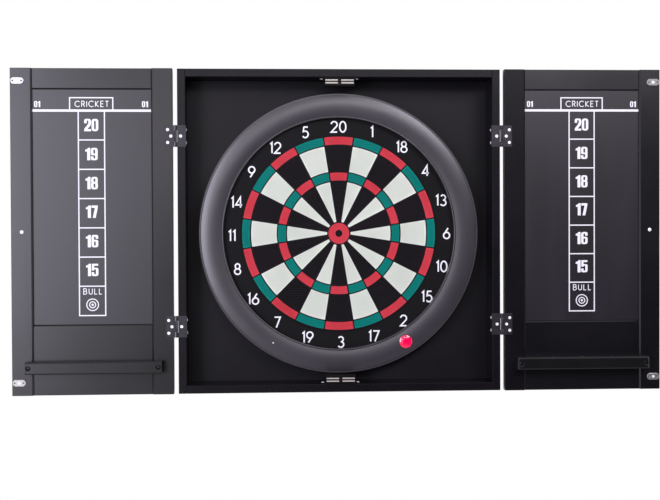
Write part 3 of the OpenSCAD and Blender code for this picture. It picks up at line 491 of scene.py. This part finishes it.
# %% Helpers for a segment with holes
def within(p, outlines):
    """Whether point p lies inside the first outline and outside a second one."""
    answer = []
    for loop in outlines:
        odd = False
        for (x0, z0), (x1, z1) in zip(loop, loop[1:] + loop[:1]):
            if (z0 > p.y) != (z1 > p.y) and p.x < (x1 - x0) * (p.y - z0) / (z1 - z0) + x0:
                odd = not odd
        answer.append(odd)
    return answer[0] and not any(answer[1:])


def bridge(mesh, outer, inner):
    """Closes the back between two rings that have the same number of corners."""
    count = len(outer)
    for i in range(count):
        j = (i + 1) % count
        mesh.faces.new([outer[j], outer[i], inner[i], inner[j]])


def hole_at(centre):
    """The six corners of a hole."""
    return arc(*centre, hole_r, hole_r, 0, 300, 5)


print("corners of a hole:", len(hole_at((0, 0))))

# %% [markdown]
# The triangles become the front, and each loop of edges gets a wall that runs back from it.
# A first loop is the outer edge, a second one the opening of a ring, and the rest are holes.


# %% Build one segment with holes
def perforated(mesh, outlines, holes):
    """Adds a solid to mesh: the first outline is its edge, a second one its opening."""
    flat, edges, owner = [], [], []
    for k, loop in enumerate(outlines + holes):
        base = len(flat)
        flat += [Vector(p) for p in loop]
        owner += [k] * len(loop)
        edges += [(base + i, base + (i + 1) % len(loop)) for i in range(len(loop))]
    points, _, triangles, origin, _, _ = delaunay_2d_cdt(flat, edges, [], 0, weld_gap)
    belongs = [owner[o[0]] for o in origin]
    front = [mesh.verts.new((p.x, face_y, p.y + board_z)) for p in points]
    rim_count = len(outlines)
    for t in triangles:
        loops = {belongs[i] for i in t}
        middle = sum((points[i] for i in t), Vector((0, 0))) / 3
        in_a_hole = len(loops) == 1 and loops.pop() >= rim_count
        if in_a_hole or not within(middle, outlines):
            continue
        face = mesh.faces.new([front[i] for i in t])
        face.normal_update()
        if face.normal.y > 0:
            face.normal_flip()
    place_of = {o[0]: i for i, o in enumerate(origin)}
    base = 0
    for k, loop in enumerate(outlines + holes):
        ids = [place_of[base + i] for i in range(len(loop))]
        base += len(loop)
        floor_y = face_y + hole_depth if k >= rim_count else foot_y
        low = [mesh.verts.new((points[i].x, floor_y, points[i].y + board_z)) for i in ids]
        count = len(ids)
        for i in range(count):
            j = (i + 1) % count
            side = [front[ids[i]], front[ids[j]], low[j], low[i]]
            mesh.faces.new(side if k == 0 else side[::-1])
        if k >= rim_count:
            mesh.faces.new(low)
        elif rim_count == 1:
            mesh.faces.new(low[::-1])
        else:
            loops_low = low if k == 0 else loops_low + low
    if rim_count == 2:
        bridge(mesh, loops_low[: len(outlines[0])], loops_low[len(outlines[0]) :])


print("holes go", round(hole_depth / mm, 1), "mm deep")

# %% [markdown]
# One honeycomb of hole centres covers the whole target, and each segment keeps those that
# lie well inside its edges. That way the rows run on from segment to segment, as they do
# on a real board.

# %% Honeycomb of hole centres
row_pitch = hole_pitch * math.sqrt(3) / 2
rows = int(double_r / row_pitch) + 1
comb = [
    ((i + 0.5 * (j % 2)) * hole_pitch, j * row_pitch)
    for j in range(-rows, rows + 1)
    for i in range(-rows, rows + 1)
]
print("hole centres in the honeycomb:", len(comb))

# %% [markdown]
# Every second segment has the same colour: singles are black or white, and the narrow
# doubles and trebles red or green. All segments of a colour make up one piece, as their CAD
# node does, and that piece takes the node's place.


# %% Segments of one colour
def finish_piece(name, mesh_data, material, body, smooth=False):
    """Turns mesh_data, a bmesh, into a piece that rides on a body."""
    mesh = bpy.data.meshes.new(name)
    mesh_data.to_mesh(mesh)
    mesh_data.free()
    mesh.materials.append(material)
    for face in mesh.polygons:
        face.use_smooth = smooth
    made = bpy.data.objects.new(name, mesh)
    bpy.context.scene.collection.objects.link(made)
    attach(made, body)
    return made


def coloured_segments(first, bands):
    """A bmesh of every second segment from number first, in the given bands."""
    data = bmesh.new()
    margin = hole_r + hole_edge
    for r0, r1 in bands:
        for i in range(first, 20, 2):
            middle = 90 + 18 * i
            outline = segment_outline(middle, r0 + cell, r1 - cell)
            kept = [c for c in comb if inside(c, r0 + cell, r1 - cell, middle, margin)]
            holes = [hole_at(c) for c in kept]
            perforated(data, [outline], holes)
    return data


bands = {
    "singles": [(bull_r, treble_in_r), (treble_r, double_in_r)],
    "scores": [(treble_in_r, treble_r), (double_in_r, double_r)],
}
for colour, first, kind, node in (
    ("black", 0, "singles", "black_singles"),
    ("white", 1, "singles", "white_singles"),
    ("red", 0, "scores", "red_segments"),
    ("green", 1, "scores", "green_segments"),
):
    slot = colour + "_segment"
    data = coloured_segments(first, bands[kind])
    made = finish_piece(colour + "_perforated_segments", data, materials[slot], "cabinet")
    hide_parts(node)
    print(made.name, len(made.data.polygons), "faces")

# %% [markdown]
# The outer bull is a ring round the inner bull. Both press in by themselves, so each is a
# piece of its own on its own body. The two rings of the outer bull have equally many
# corners, so that its back closes with a plain band of four-sided faces.

# %% Bulls
def circle(radius, steps):
    """A circle round the target's centre."""
    return arc(0, 0, radius, radius, 0, 360 * (steps - 1) / steps, steps - 1)


data = bmesh.new()
ring_r = (inner_bull_r + clear, bull_r - cell)
kept = [c for c in comb if inside(c, *ring_r, None, hole_r + bull_edge)]
perforated(data, [circle(ring_r[1], 48), circle(ring_r[0], 48)], [hole_at(c) for c in kept])
red = materials["red_segment"]
made = finish_piece("perforated_outer_bull", data, red, "outer_bull")
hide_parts("outer_bull")
data = bmesh.new()
holes = [hole_at(c) for c in comb if math.hypot(*c) < inner_bull_r - hole_r - bull_edge]
perforated(data, [circle(inner_bull_r, 32)], holes)
black = materials["black_segment"]
made = finish_piece("perforated_inner_bull", data, black, "inner_bull")
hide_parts("inner_bull")
print("holes in the inner bull:", len(holes))

# %% [markdown]
# ## Caps on the wall screws
#
# Four screws go through the back panel into the wall. Each one is hidden by a push-on cap
# in the panel's own black, a thin disc with a bevelled rim, turned here from one profile
# as a woodturner would.


# %% Screw caps
def turned_piece(data, centre, profile, steps=40):
    """Adds a solid of revolution about Y; profile runs (radius, y) from axis to axis."""
    rings = []
    for r, y in profile:
        if r == 0:
            rings.append([data.verts.new((centre[0], y, centre[1]))])
        else:
            circle_at = arc(*centre, r, r, 0, 360 - 360 / steps, steps - 1)
            rings.append([data.verts.new((x, y, z)) for x, z in circle_at])
    for low, high in zip(rings, rings[1:]):
        for i in range(steps):
            j = (i + 1) % steps
            corners = [low[i % len(low)], low[j % len(low)]]
            corners += [high[j % len(high)], high[i % len(high)]]
            data.faces.new(list(dict.fromkeys(corners)))


panel_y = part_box("back_panel")[0].y
cap_r, cap_h, bevel = 5.2 * mm, 0.4 * mm, 0.2 * mm
cap_top = panel_y - cap_h
screw_x, screw_z = 203.2 * mm, 276 * mm
data = bmesh.new()
for x in (-screw_x, screw_x):
    for z in (-screw_z, screw_z):
        side = [(cap_r, panel_y), (cap_r, cap_top + bevel), (cap_r - bevel, cap_top)]
        turned_piece(data, (x, z), [(0, panel_y)] + side + [(0, cap_top)])
caps = finish_piece("wall_screw_caps", data, materials["back_board"], "cabinet")
print("screw caps:", len(caps.data.polygons), "faces")

# %% [markdown]
# ## Printed numbers and lines
#
# The numbers round the board are printed in a thin geometric face, and those on the
# scoreboards in a heavy condensed one. Each thin figure is drawn as a few strokes, the way
# a sign painter would: straight runs and arcs in a box one unit high. A table holds each
# sign's width and its strokes.


# %% Strokes of the thin figures and letters
def oval(cx, cz, rx, rz):
    """A closed oval, as its points and a mark that it is closed."""
    return arc(cx, cz, rx, rz, 90, 450 - 15, 23), True


def open_line(points):
    """A line with two ends, as its points and a mark that it is open."""
    return points, False


def turned(strokes, width):
    """The strokes turned by half a turn, which makes a nine of a six."""
    return [([(width - x, 1 - z) for x, z in points], closed) for points, closed in strokes]


six_strokes = [oval(0.28, 0.3, 0.28, 0.3), open_line([(0.42, 1.0), (0.05, 0.42)])]
neck_of_two = arc(0.27, 0.715, 0.27, 0.285, 170, -38, 14)
bowl_of_five = arc(0.25, 0.31, 0.27, 0.31, 125, -145, 14)
head_of_b = [(0.0, 1.0), (0.27, 1.0)] + arc(0.27, 0.765, 0.2, 0.235, 80, -90, 10)
foot_of_b = [(0.27, 0.53)] + arc(0.27, 0.265, 0.25, 0.265, 80, -90, 10) + [(0.0, 0.0)]
head_of_r = [(0.0, 0.0), (0.0, 1.0), (0.26, 1.0)] + arc(0.26, 0.74, 0.22, 0.26, 80, -90, 10)
bowl_of_u = arc(0.27, 0.28, 0.27, 0.28, 180, 360, 12)
thin = {
    "0": (0.56, [oval(0.28, 0.5, 0.28, 0.5)]),
    "1": (0.16, [open_line([(0.0, 0.84), (0.16, 1.0), (0.16, 0.0)])]),
    "2": (0.54, [open_line(neck_of_two + [(0.0, 0.0), (0.54, 0.0)])]),
    "3": (
        0.52,
        [
            open_line(arc(0.25, 0.755, 0.22, 0.245, 150, -90, 14)),
            open_line(arc(0.25, 0.265, 0.265, 0.265, 90, -150, 14)),
        ],
    ),
    "4": (0.58, [open_line([(0.43, 0.0), (0.43, 1.0), (0.0, 0.25), (0.58, 0.25)])]),
    "5": (0.52, [open_line([(0.49, 1.0), (0.14, 1.0), (0.07, 0.56)] + bowl_of_five)]),
    "6": (0.56, six_strokes),
    "7": (0.52, [open_line([(0.0, 1.0), (0.52, 1.0), (0.15, 0.0)])]),
    "8": (0.54, [oval(0.27, 0.76, 0.21, 0.24), oval(0.27, 0.26, 0.27, 0.26)]),
    "9": (0.56, turned(six_strokes, 0.56)),
    "B": (
        0.52,
        [
            open_line([(0.0, 0.53)] + head_of_b),
            open_line([(0.0, 0.53)] + foot_of_b + [(0.0, 0.53)]),
        ],
    ),
    "C": (0.8, [open_line(arc(0.48, 0.5, 0.48, 0.5, 48, 312, 20))]),
    "E": (
        0.46,
        [
            open_line([(0.46, 1.0), (0.0, 1.0), (0.0, 0.0), (0.46, 0.0)]),
            open_line([(0.0, 0.52), (0.42, 0.52)]),
        ],
    ),
    "I": (0.0, [open_line([(0.0, 1.0), (0.0, 0.0)])]),
    "K": (
        0.54,
        [
            open_line([(0.0, 1.0), (0.0, 0.0)]),
            open_line([(0.5, 1.0), (0.02, 0.46), (0.54, 0.0)]),
        ],
    ),
    "L": (0.42, [open_line([(0.0, 1.0), (0.0, 0.0), (0.42, 0.0)])]),
    "R": (
        0.52,
        [open_line(head_of_r + [(0.0, 0.48)]), open_line([(0.24, 0.48), (0.52, 0.0)])],
    ),
    "T": (0.54, [open_line([(0.0, 1.0), (0.54, 1.0)]), open_line([(0.27, 1.0), (0.27, 0.0)])]),
    "U": (0.54, [open_line([(0.0, 1.0)] + bowl_of_u + [(0.54, 1.0)])]),
}
print("thin figures and letters:", "".join(sorted(thin)))

# %% [markdown]
# The heavy face has thick stems and thin gaps, which strokes of one width can't give. Its
# figures are outlines: corners in order, each with the radius that rounds it, and the
# counters, which are the enclosed gaps, in the same way. Turning a six gives the nine.


# %% Outlines of the heavy figures
def rounded(corners):
    """An outline of straight lines whose corners, (x, z, radius), are rounded off."""
    count = len(corners)
    points = []
    for i, (x, z, radius) in enumerate(corners):
        here = Vector((x, z))
        before, after = (Vector(corners[k % count][:2]) - here for k in (i - 1, i + 1))
        cut = min(radius, before.length / 2, after.length / 2)
        first, last = here + before.normalized() * cut, here + after.normalized() * cut
        for step in range(6 if radius else 1):
            share = step / 5
            bend = first.lerp(here, share).lerp(here.lerp(last, share), share)
            if not points or math.dist(bend, points[-1]) > 0.003:
                points.append(tuple(bend))
    if math.dist(points[0], points[-1]) < 0.003:
        points.pop()
    return points


def slab(x0, z0, x1, z1, radius=0.06):
    """A rectangle with rounded corners."""
    return rounded([(x0, z0, radius), (x1, z0, radius), (x1, z1, radius), (x0, z1, radius)])


def half_turn(loop):
    """A figure's outline turned by half a turn."""
    return [(0.54 - x, 1 - z) for x, z in loop]


flag_of_one = [(0.22, 1, 0), (0.19, 0.93, 0.03), (0, 0.84, 0), (0, 0.7, 0), (0.15, 0.7, 0)]
foot_of_two = [(0, 0, 0), (0.54, 0, 0), (0.54, 0.17, 0), (0.25, 0.17, 0.02), (0.5, 0.45, 0.1)]
head_of_two = [(0.54, 0.6, 0.1), (0.54, 1, 0.2), (0, 1, 0.2), (0, 0.64, 0), (0.2, 0.64, 0)]
back_of_two = [(0.2, 0.86, 0.06), (0.34, 0.86, 0.06), (0.34, 0.62, 0.1), (0, 0.18, 0.05)]
top_of_five = [(0.54, 0.67, 0.14), (0.2, 0.67, 0.03), (0.2, 0.84, 0), (0.52, 0.84, 0)]
back_of_five = [(0.52, 1, 0), (0.02, 1, 0), (0.01, 0.46, 0), (0.2, 0.46, 0)]
gap_of_five = [(0.2, 0.55, 0.05), (0.34, 0.55, 0.05), (0.34, 0.14, 0.06), (0.2, 0.14, 0.06)]
hook_of_five = [(0.2, 0.32, 0), (0, 0.32, 0)]
bowl_of_six = [(0, 0, 0.2), (0.54, 0, 0.2), (0.54, 0.6, 0.14), (0.2, 0.6, 0.02), (0.2, 0.86, 0.06)]
head_of_six = [(0.34, 0.86, 0.06), (0.34, 0.69, 0), (0.54, 0.69, 0), (0.54, 1, 0.2), (0, 1, 0.2)]
foot_of_eight = [(0, 0, 0.2), (0.54, 0, 0.2), (0.54, 0.46, 0.1), (0.49, 0.53, 0.04)]
head_of_eight = [(0.53, 0.6, 0.1), (0.53, 1, 0.2), (0.01, 1, 0.2), (0.01, 0.6, 0.1)]
waist_of_eight = [(0.05, 0.53, 0.04), (0, 0.46, 0.1)]
one = [(0.15, 0, 0), (0.4, 0, 0), (0.4, 1, 0)] + flag_of_one
two = foot_of_two + head_of_two + back_of_two
five = [(0, 0, 0.2), (0.54, 0, 0.2)] + top_of_five + back_of_five
five += gap_of_five + hook_of_five
six, six_counter = rounded(bowl_of_six + head_of_six), slab(0.2, 0.14, 0.34, 0.47)
seven = [(0.1, 0), (0.33, 0), (0.5, 0.84), (0.5, 1), (0, 1), (0, 0.81), (0.27, 0.81)]
eight_counters = [slab(0.2, 0.13, 0.34, 0.46), slab(0.2, 0.6, 0.34, 0.87)]
heavy = {
    "0": (0.54, slab(0, 0, 0.54, 1, 0.24), [slab(0.2, 0.15, 0.34, 0.85, 0.07)]),
    "1": (0.4, rounded(one), []),
    "2": (0.54, rounded(two), []),
    "5": (0.54, rounded(five), []),
    "6": (0.54, six, [six_counter]),
    "7": (0.5, seven, []),
    "8": (0.54, rounded(foot_of_eight + head_of_eight + waist_of_eight), eight_counters),
    "9": (0.54, half_turn(six), [half_turn(six_counter)]),
}
print("heavy figures:", "".join(sorted(heavy)))

# %% [markdown]
# A stroke becomes a flat ribbon of ink, a tenth of a millimetre thick, so it lies on its
# surface as a real print does. Its corners are mitred: where two runs meet, each side goes
# through the point where their edges cross. Where strokes overlap, each lies a hundredth
# of a millimetre over the one before, so that no two faces share a plane.

# %% Ribbons of ink
ink_thick, overprint = 0.12 * mm, 0.01 * mm


def ribbon(data, points, width, y_front, closed=False):
    """Adds a flat ribbon of ink along points in the XZ plane, facing the player."""
    path = [Vector(p) for p in points]
    count = len(path)
    sides = []
    for i, here in enumerate(path):
        ahead = path[(i + 1) % count] - here if closed or i < count - 1 else None
        behind = here - path[i - 1] if closed or i > 0 else None
        runs = [d.normalized() for d in (behind, ahead) if d is not None]
        across = sum((Vector((-d.y, d.x)) for d in runs), Vector((0, 0)))
        across.normalize()
        reach = width / 2 / max(0.35, across.dot(Vector((-runs[0].y, runs[0].x))))
        sides.append((here + across * reach, here - across * reach))
    rows = [
        [data.verts.new((p.x, y, p.y)) for y in (y_front, y_front + ink_thick) for p in pair]
        for pair in sides
    ]
    for i in range(count if closed else count - 1):
        a, b = rows[i], rows[(i + 1) % count]
        data.faces.new([a[0], b[0], b[1], a[1]])
        data.faces.new([a[2], a[3], b[3], b[2]])
        data.faces.new([a[0], a[2], b[2], b[0]])
        data.faces.new([a[1], b[1], b[3], a[3]])
    if not closed:
        data.faces.new([rows[0][k] for k in (0, 1, 3, 2)])
        data.faces.new([rows[-1][k] for k in (0, 2, 3, 1)])


def lettering(data, words, face, height, weight, gap, centre, y_front, stretch=1.0):
    """Adds words in a face, centred on a point; height is that of the finished print."""
    body = height - weight
    step = gap + weight
    total = sum(face[c][0] * body * stretch for c in words) + step * (len(words) - 1)
    x = centre[0] - total / 2
    for c in words:
        wide, strokes = face[c]
        for k, (points, closed) in enumerate(strokes):
            placed = [
                (x + px * body * stretch, centre[1] + (pz - 0.5) * body) for px, pz in points
            ]
            ribbon(data, placed, weight, y_front - k * overprint, closed)
        x += wide * body * stretch + step


def rule(data, x0, z0, x1, z1, width, y_front):
    """A straight printed line."""
    ribbon(data, [(x0, z0), (x1, z1)], width, y_front)


print("ink stands", ink_thick / mm, "mm high")

# %% [markdown]
# The heavy figures take the same triangulation as the segments did: the outline and its
# counters are the edges, and triangles inside a counter are left out.


# %% Shapes of ink
def inked(data, outline, counters, y_front):
    """Adds one flat shape of ink with its counters left open."""
    loops = [outline] + counters
    flat = [Vector(p) for loop in loops for p in loop]
    edges, starts = [], []
    for loop in loops:
        base = sum(len(other) for other in loops[: len(starts)])
        starts.append(base)
        edges += [(base + i, base + (i + 1) % len(loop)) for i in range(len(loop))]
    points, _, triangles, origin, _, _ = delaunay_2d_cdt(flat, edges, [], 0, weld_gap)
    front, back = (
        [data.verts.new((p.x, y, p.y)) for p in points] for y in (y_front, y_front + ink_thick)
    )
    for t in triangles:
        if within(sum((points[i] for i in t), Vector((0, 0))) / 3, loops):
            data.faces.new([front[i] for i in t])
            data.faces.new([back[i] for i in reversed(t)])
    place_of = {o[0]: i for i, o in enumerate(origin)}
    for base, loop in zip(starts, loops):
        ids = [place_of[base + i] for i in range(len(loop))]
        for a, b in zip(ids, ids[1:] + ids[:1]):
            data.faces.new([front[b], front[a], back[a], back[b]])


def figures(data, number, height, between, centre, y_front):
    """Adds a number in the heavy face, centred on a point."""
    total = sum(heavy[c][0] * height for c in number) + between * (len(number) - 1)
    x = centre[0] - total / 2
    for c in number:
        wide, outline, counters = heavy[c]
        placed = [
            [(x + px * height, centre[1] + (pz - 0.5) * height) for px, pz in loop]
            for loop in [outline] + counters
        ]
        inked(data, placed[0], placed[1:], y_front)
        x += wide * height + between


print("widest heavy figure:", max(wide for wide, *_ in heavy.values()), "of its height")

# %% [markdown]
# Screen ink is thick and chalky: fine specks of white pigment, under a millimetre apart,
# show through a slightly greyer binder.

# %% White ink
ink, tree, shader, place = start("white_screen_ink", IOR=1.5, Roughness=0.45)
speck = wire(tree, "TexNoise", {"Scale": 1 / (0.667 * mm), "Detail": 2.0}, {"Vector": place})
stops = [(0.25, "#dcdce0"), (0.6, "#f8f8fa")]
tone = wire(tree, "ValToRGB", {"stops": stops}, {"Fac": speck.outputs["Fac"]})
tree.links.new(tone.outputs["Color"], shader.inputs["Base Color"])
print("ink:", ink.name)

# %% [markdown]
# The order of the numbers is the old standard one, which puts small numbers beside large
# ones. They stand upright all the way round. The print sits a little low and to the right,
# and is turned by less than half a degree.

# %% Numbers round the board
order = [20, 1, 18, 4, 13, 6, 10, 15, 2, 17, 3, 19, 7, 16, 8, 11, 14, 9, 12, 5]
ring_face_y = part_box("number_ring")[0].y
number_r, print_turn = 218.3 * mm, 0.4
print_x, print_z = 1.7 * mm, board_z - 2.4 * mm
number_sizes = (24.2 * mm, 2.9 * mm, 2.4 * mm)  # height, stroke and gap between figures
data = bmesh.new()
for i, number in enumerate(order):
    turn = math.radians(90 - 18 * i + print_turn)
    centre = (print_x + number_r * math.cos(turn), print_z + number_r * math.sin(turn))
    lettering(data, str(number), thin, *number_sizes, centre, ring_face_y - ink_thick, 1.04)
numbers = finish_piece("printed_ring_numbers", data, ink, "cabinet")
print("ring numbers:", len(numbers.data.polygons), "faces")

# %% [markdown]
# Both scoreboards carry the same print: a box for the game's name on a rule that spans the
# board, marks for the other game at its ends, and a column of numbered cells. The last cell
# has a small target of plain rings.

# %% Layout of the scoreboard print, heights in mm from the wall screws' middle
bar_z, box_z, foot_z = 241.0, 266.4, -165.0
game_z, marks_z, bull_z, target_z = 254.2, 253.7, -116.0, -142.5
dividers = [183.1, 125.2, 67.5, 9.6, -48.1, -105.8, -163.8]
lifts = [0.5, 1.2, 1.7, 3.0, 2.7, 3.4]  # how far each figure stands above its cell's middle
column_half, post_half, lid_half, marks_x = 25.6 * mm, 42.2 * mm, 43.3 * mm, 105.4 * mm
thin_line, thick_line = 2.3 * mm, 4.6 * mm
name_size, name_stroke = 12.4 * mm, 1.5 * mm
print("cells:", len(dividers), "figures from 20 down to", 21 - len(lifts))

# %% [markdown]
# The left sheet's print lies a little lower and further out than the right one's, so the
# function that prints a sheet takes both shifts.


# %% Print on the scoreboards
def scoreboard_print(side, aside, down):
    """Prints a scoreboard, shifted aside and down by these lengths."""
    low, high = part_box(side + "_scoreboard")
    x = (low.x + high.x) / 2 + aside
    y = low.y - ink_thick
    over = y - overprint

    def level(height):
        """The z of a printed height."""
        return height * mm - down

    data = bmesh.new()
    rule(data, low.x, level(bar_z), high.x, level(bar_z), thick_line, y)
    for edge in (-1, 1):
        post, column = x + edge * post_half, x + edge * column_half
        rule(data, post, level(bar_z), post, level(box_z + 1.1), thin_line, over)
        rule(data, column, level(bar_z), column, level(foot_z), thin_line, over)
        figures(data, "01", 11.8 * mm, 0.9 * mm, (x + edge * marks_x, level(marks_z)), y)
    rule(data, x - lid_half, level(box_z), x + lid_half, level(box_z), thin_line, y)
    middle = (x + 1 * mm, level(game_z))
    lettering(data, "CRICKET", thin, name_size, name_stroke, 2.5 * mm, middle, y, 1.05)
    for height in dividers:
        rule(data, x - column_half, level(height), x + column_half, level(height), thin_line, y)
    tops = [bar_z] + dividers
    for k, lift in enumerate(lifts):
        middle = level((tops[k] + tops[k + 1]) / 2 + lift)
        figures(data, str(20 - k), 24.5 * mm, 1.2 * mm, (x - 0.2 * mm, middle), y)
    middle = (x + 0.5 * mm, level(bull_z))
    lettering(data, "BULL", thin, name_size, name_stroke, 2.8 * mm, middle, y, 1.1)
    for radius, width in ((11.5, 1.9), (6.0, 1.9), (1.2, 2.4)):
        ring = arc(x, level(target_z), radius * mm, radius * mm, 0, 348, 29)
        ribbon(data, ring, width * mm, y, True)
    return finish_piece(side + "_scoreboard_print", data, ink, side + "_door")


for side, aside, down in (("left", -1.2 * mm, 1.7 * mm), ("right", 0, 0)):
    made = scoreboard_print(side, aside, down)
    print(made.name, len(made.data.polygons), "faces")

# %% [markdown]
# ## Studio
#
# The cabinet hangs on a wall with its centre at a player's eye height, 1.73 m above the
# floor. No wall is drawn, so that every side can be looked at. The background is white to
# the camera and to mirror-like reflections only; the light on the object comes from soft
# boxes. Lacquer shows what it faces, so in a studio it is kept dark with a black flag out
# of the camera's sight: a wide one stands behind the camera, over the right half.

# %% World
world = bpy.data.worlds.new("studio")
bpy.context.scene.world = world
world.use_nodes = True
tree = world.node_tree
tree.nodes.clear()
seen = wire(tree, "LightPath")
direct = seen.outputs["Is Camera Ray"]
for ray in ("Is Glossy Ray", "Is Transmission Ray"):
    either = wire(
        tree, "Math", {"operation": "MAXIMUM"}, {0: direct, 1: seen.outputs[ray]}
    )
    direct = either.outputs[0]
fill = wire(tree, "Background", {"Color": paint("#ffffff"), "Strength": 0.13})
white = wire(tree, "Background", {"Color": paint("#ffffff"), "Strength": 1.0})
mix = wire(tree, "MixShader", links={0: direct, 1: fill.outputs[0], 2: white.outputs[0]})
wire(tree, "OutputWorld", links={"Surface": mix.outputs[0]})
print("world:", world.name)

# %% [markdown]
# The floor is painted concrete, pale grey with broad scuffs half a metre across. It is one
# card, far below the cabinet, and keeps the soft shadow that falls on it.


# %% Floor
def flat_card(name, corners, material):
    """A four-cornered card that belongs to the studio."""
    mesh = bpy.data.meshes.new(name)
    mesh.from_pydata(corners, [], [(0, 1, 2, 3)])
    mesh.materials.append(material)
    card = bpy.data.objects.new(name, mesh)
    bpy.context.scene.collection.objects.link(card)
    return card


floor_paint, tree, shader, place = start("pale_floor_paint", Roughness=0.7, IOR=1.45)
scuff = wire(tree, "TexNoise", {"Scale": 1 / (500 * mm), "Detail": 5.0}, {"Vector": place})
stops = [(0.0, "#e4e4e4"), (1.0, "#ededed")]
tone = wire(tree, "ValToRGB", {"stops": stops}, {"Fac": scuff.outputs["Fac"]})
tree.links.new(tone.outputs["Color"], shader.inputs["Base Color"])
floor_z, reach = -1.73, 4
corners = [(-reach, -reach), (reach, -reach), (reach, reach), (-reach, reach)]
flat_card("floor", [(x, y, floor_z) for x, y in corners], floor_paint)
print("floor at", floor_z)

# %% [markdown]
# The flag is black cloth on a frame. Only shiny surfaces see it: it throws no shadow, and it
# takes no soft light away.

# %% Black flag
flag_cloth, tree, shader, place = start("black_flag_cloth", Roughness=0.95)
weave = wire(tree, "TexNoise", {"Scale": 1 / (2.5 * mm)}, {"Vector": place})
stops = [(0.0, "#050505"), (1.0, "#0c0c0c")]
tone = wire(tree, "ValToRGB", {"stops": stops}, {"Fac": weave.outputs["Fac"]})
tree.links.new(tone.outputs["Color"], shader.inputs["Base Color"])
flag_y, (left, foot), (right, top) = -3.3, (-0.62, -1.6), (3.4, 2.2)
corners = [(left, foot), (right, foot), (right, top), (left, top)]
flag = flat_card("black_flag", [(x, flag_y, z) for x, z in corners], flag_cloth)
flag.visible_camera = False
flag.visible_shadow = False
flag.visible_diffuse = False
print("flag:", round(right - left, 2), "by", round(top - foot, 2), "m")

# %% [markdown]
# Large boxes on the left give the doors and the bezel their broad sheen. A smaller key on
# the upper right models the bezel, and small boxes near the middle give the rounded parts
# a highlight each.


# %% Soft boxes
def soft_box(name, place, target, width, height, watts, warmth="#ffffff"):
    """An area lamp that points at target and can't be seen by the camera."""
    lamp = bpy.data.lights.new(name, "AREA")
    lamp.shape = "RECTANGLE"
    lamp.size, lamp.size_y, lamp.energy = width, height, watts
    lamp.color = paint(warmth)[:3]
    made = bpy.data.objects.new(name, lamp)
    made.location = place
    aim = Vector(target) - Vector(place)
    made.rotation_euler = aim.to_track_quat("-Z", "Y").to_euler()
    made.visible_camera = False
    bpy.context.scene.collection.objects.link(made)


soft_box("left_soft_box", (-1.75, -2.6, 0.35), (-0.3, 0, 0), 1.3, 1.9, 46, "#ebe9ff")
soft_box("far_left_soft_box", (-1.9, -3.1, 0.1), (-0.5, 0, 0), 1.0, 1.8, 27, "#f8f2ff")
soft_box("right_key_box", (1.15, -2.2, 1.35), (0.2, 0, 0.2), 0.9, 0.8, 33, "#f8f2ff")
soft_box("small_key_box", (0.66, -2.6, 0.95), (0.15, 0, 0.15), 0.4, 0.4, 3, "#f8f2ff")
soft_box("top_strip", (0.12, -2.7, 1.05), (0, 0, 0), 0.9, 0.4, 9)
soft_box("small_left_box", (-0.5, -2.9, 0.4), (0, 0, 0), 0.5, 0.4, 3.2, "#f8f2ff")

# %% [markdown]
# ## Camera
#
# The camera stands 2.35 m in front of the cabinet's rim, a little left of its middle, and
# turns three degrees to the right. Its matrix is written from those angles: its own x, y
# and z axes are the columns.

# %% Camera
yaw, pitch, roll = (math.radians(a) for a in (3.1044, 0.8184, 0.2432))
stand = Vector((-0.1479, -2.4346, -0.0045))
right = Vector((math.cos(yaw), -math.sin(yaw), 0))
ahead = Vector(
    (math.sin(yaw) * math.cos(pitch), math.cos(yaw) * math.cos(pitch), -math.sin(pitch))
)
up = right.cross(ahead)
lens = bpy.data.cameras.new("camera")
lens.sensor_width = 36.0
lens.lens = 64.397
camera = bpy.data.objects.new("camera", lens)
x_axis = right * math.cos(roll) - up * math.sin(roll)
y_axis = right * math.sin(roll) + up * math.cos(roll)
turn = Matrix((x_axis, y_axis, -ahead)).transposed()
camera.matrix_world = Matrix.Translation(stand) @ turn.to_4x4()
bpy.context.scene.collection.objects.link(camera)
bpy.context.scene.camera = camera
bpy.context.scene.view_settings.view_transform = "Standard"
print("camera at", [round(v, 3) for v in camera.location])
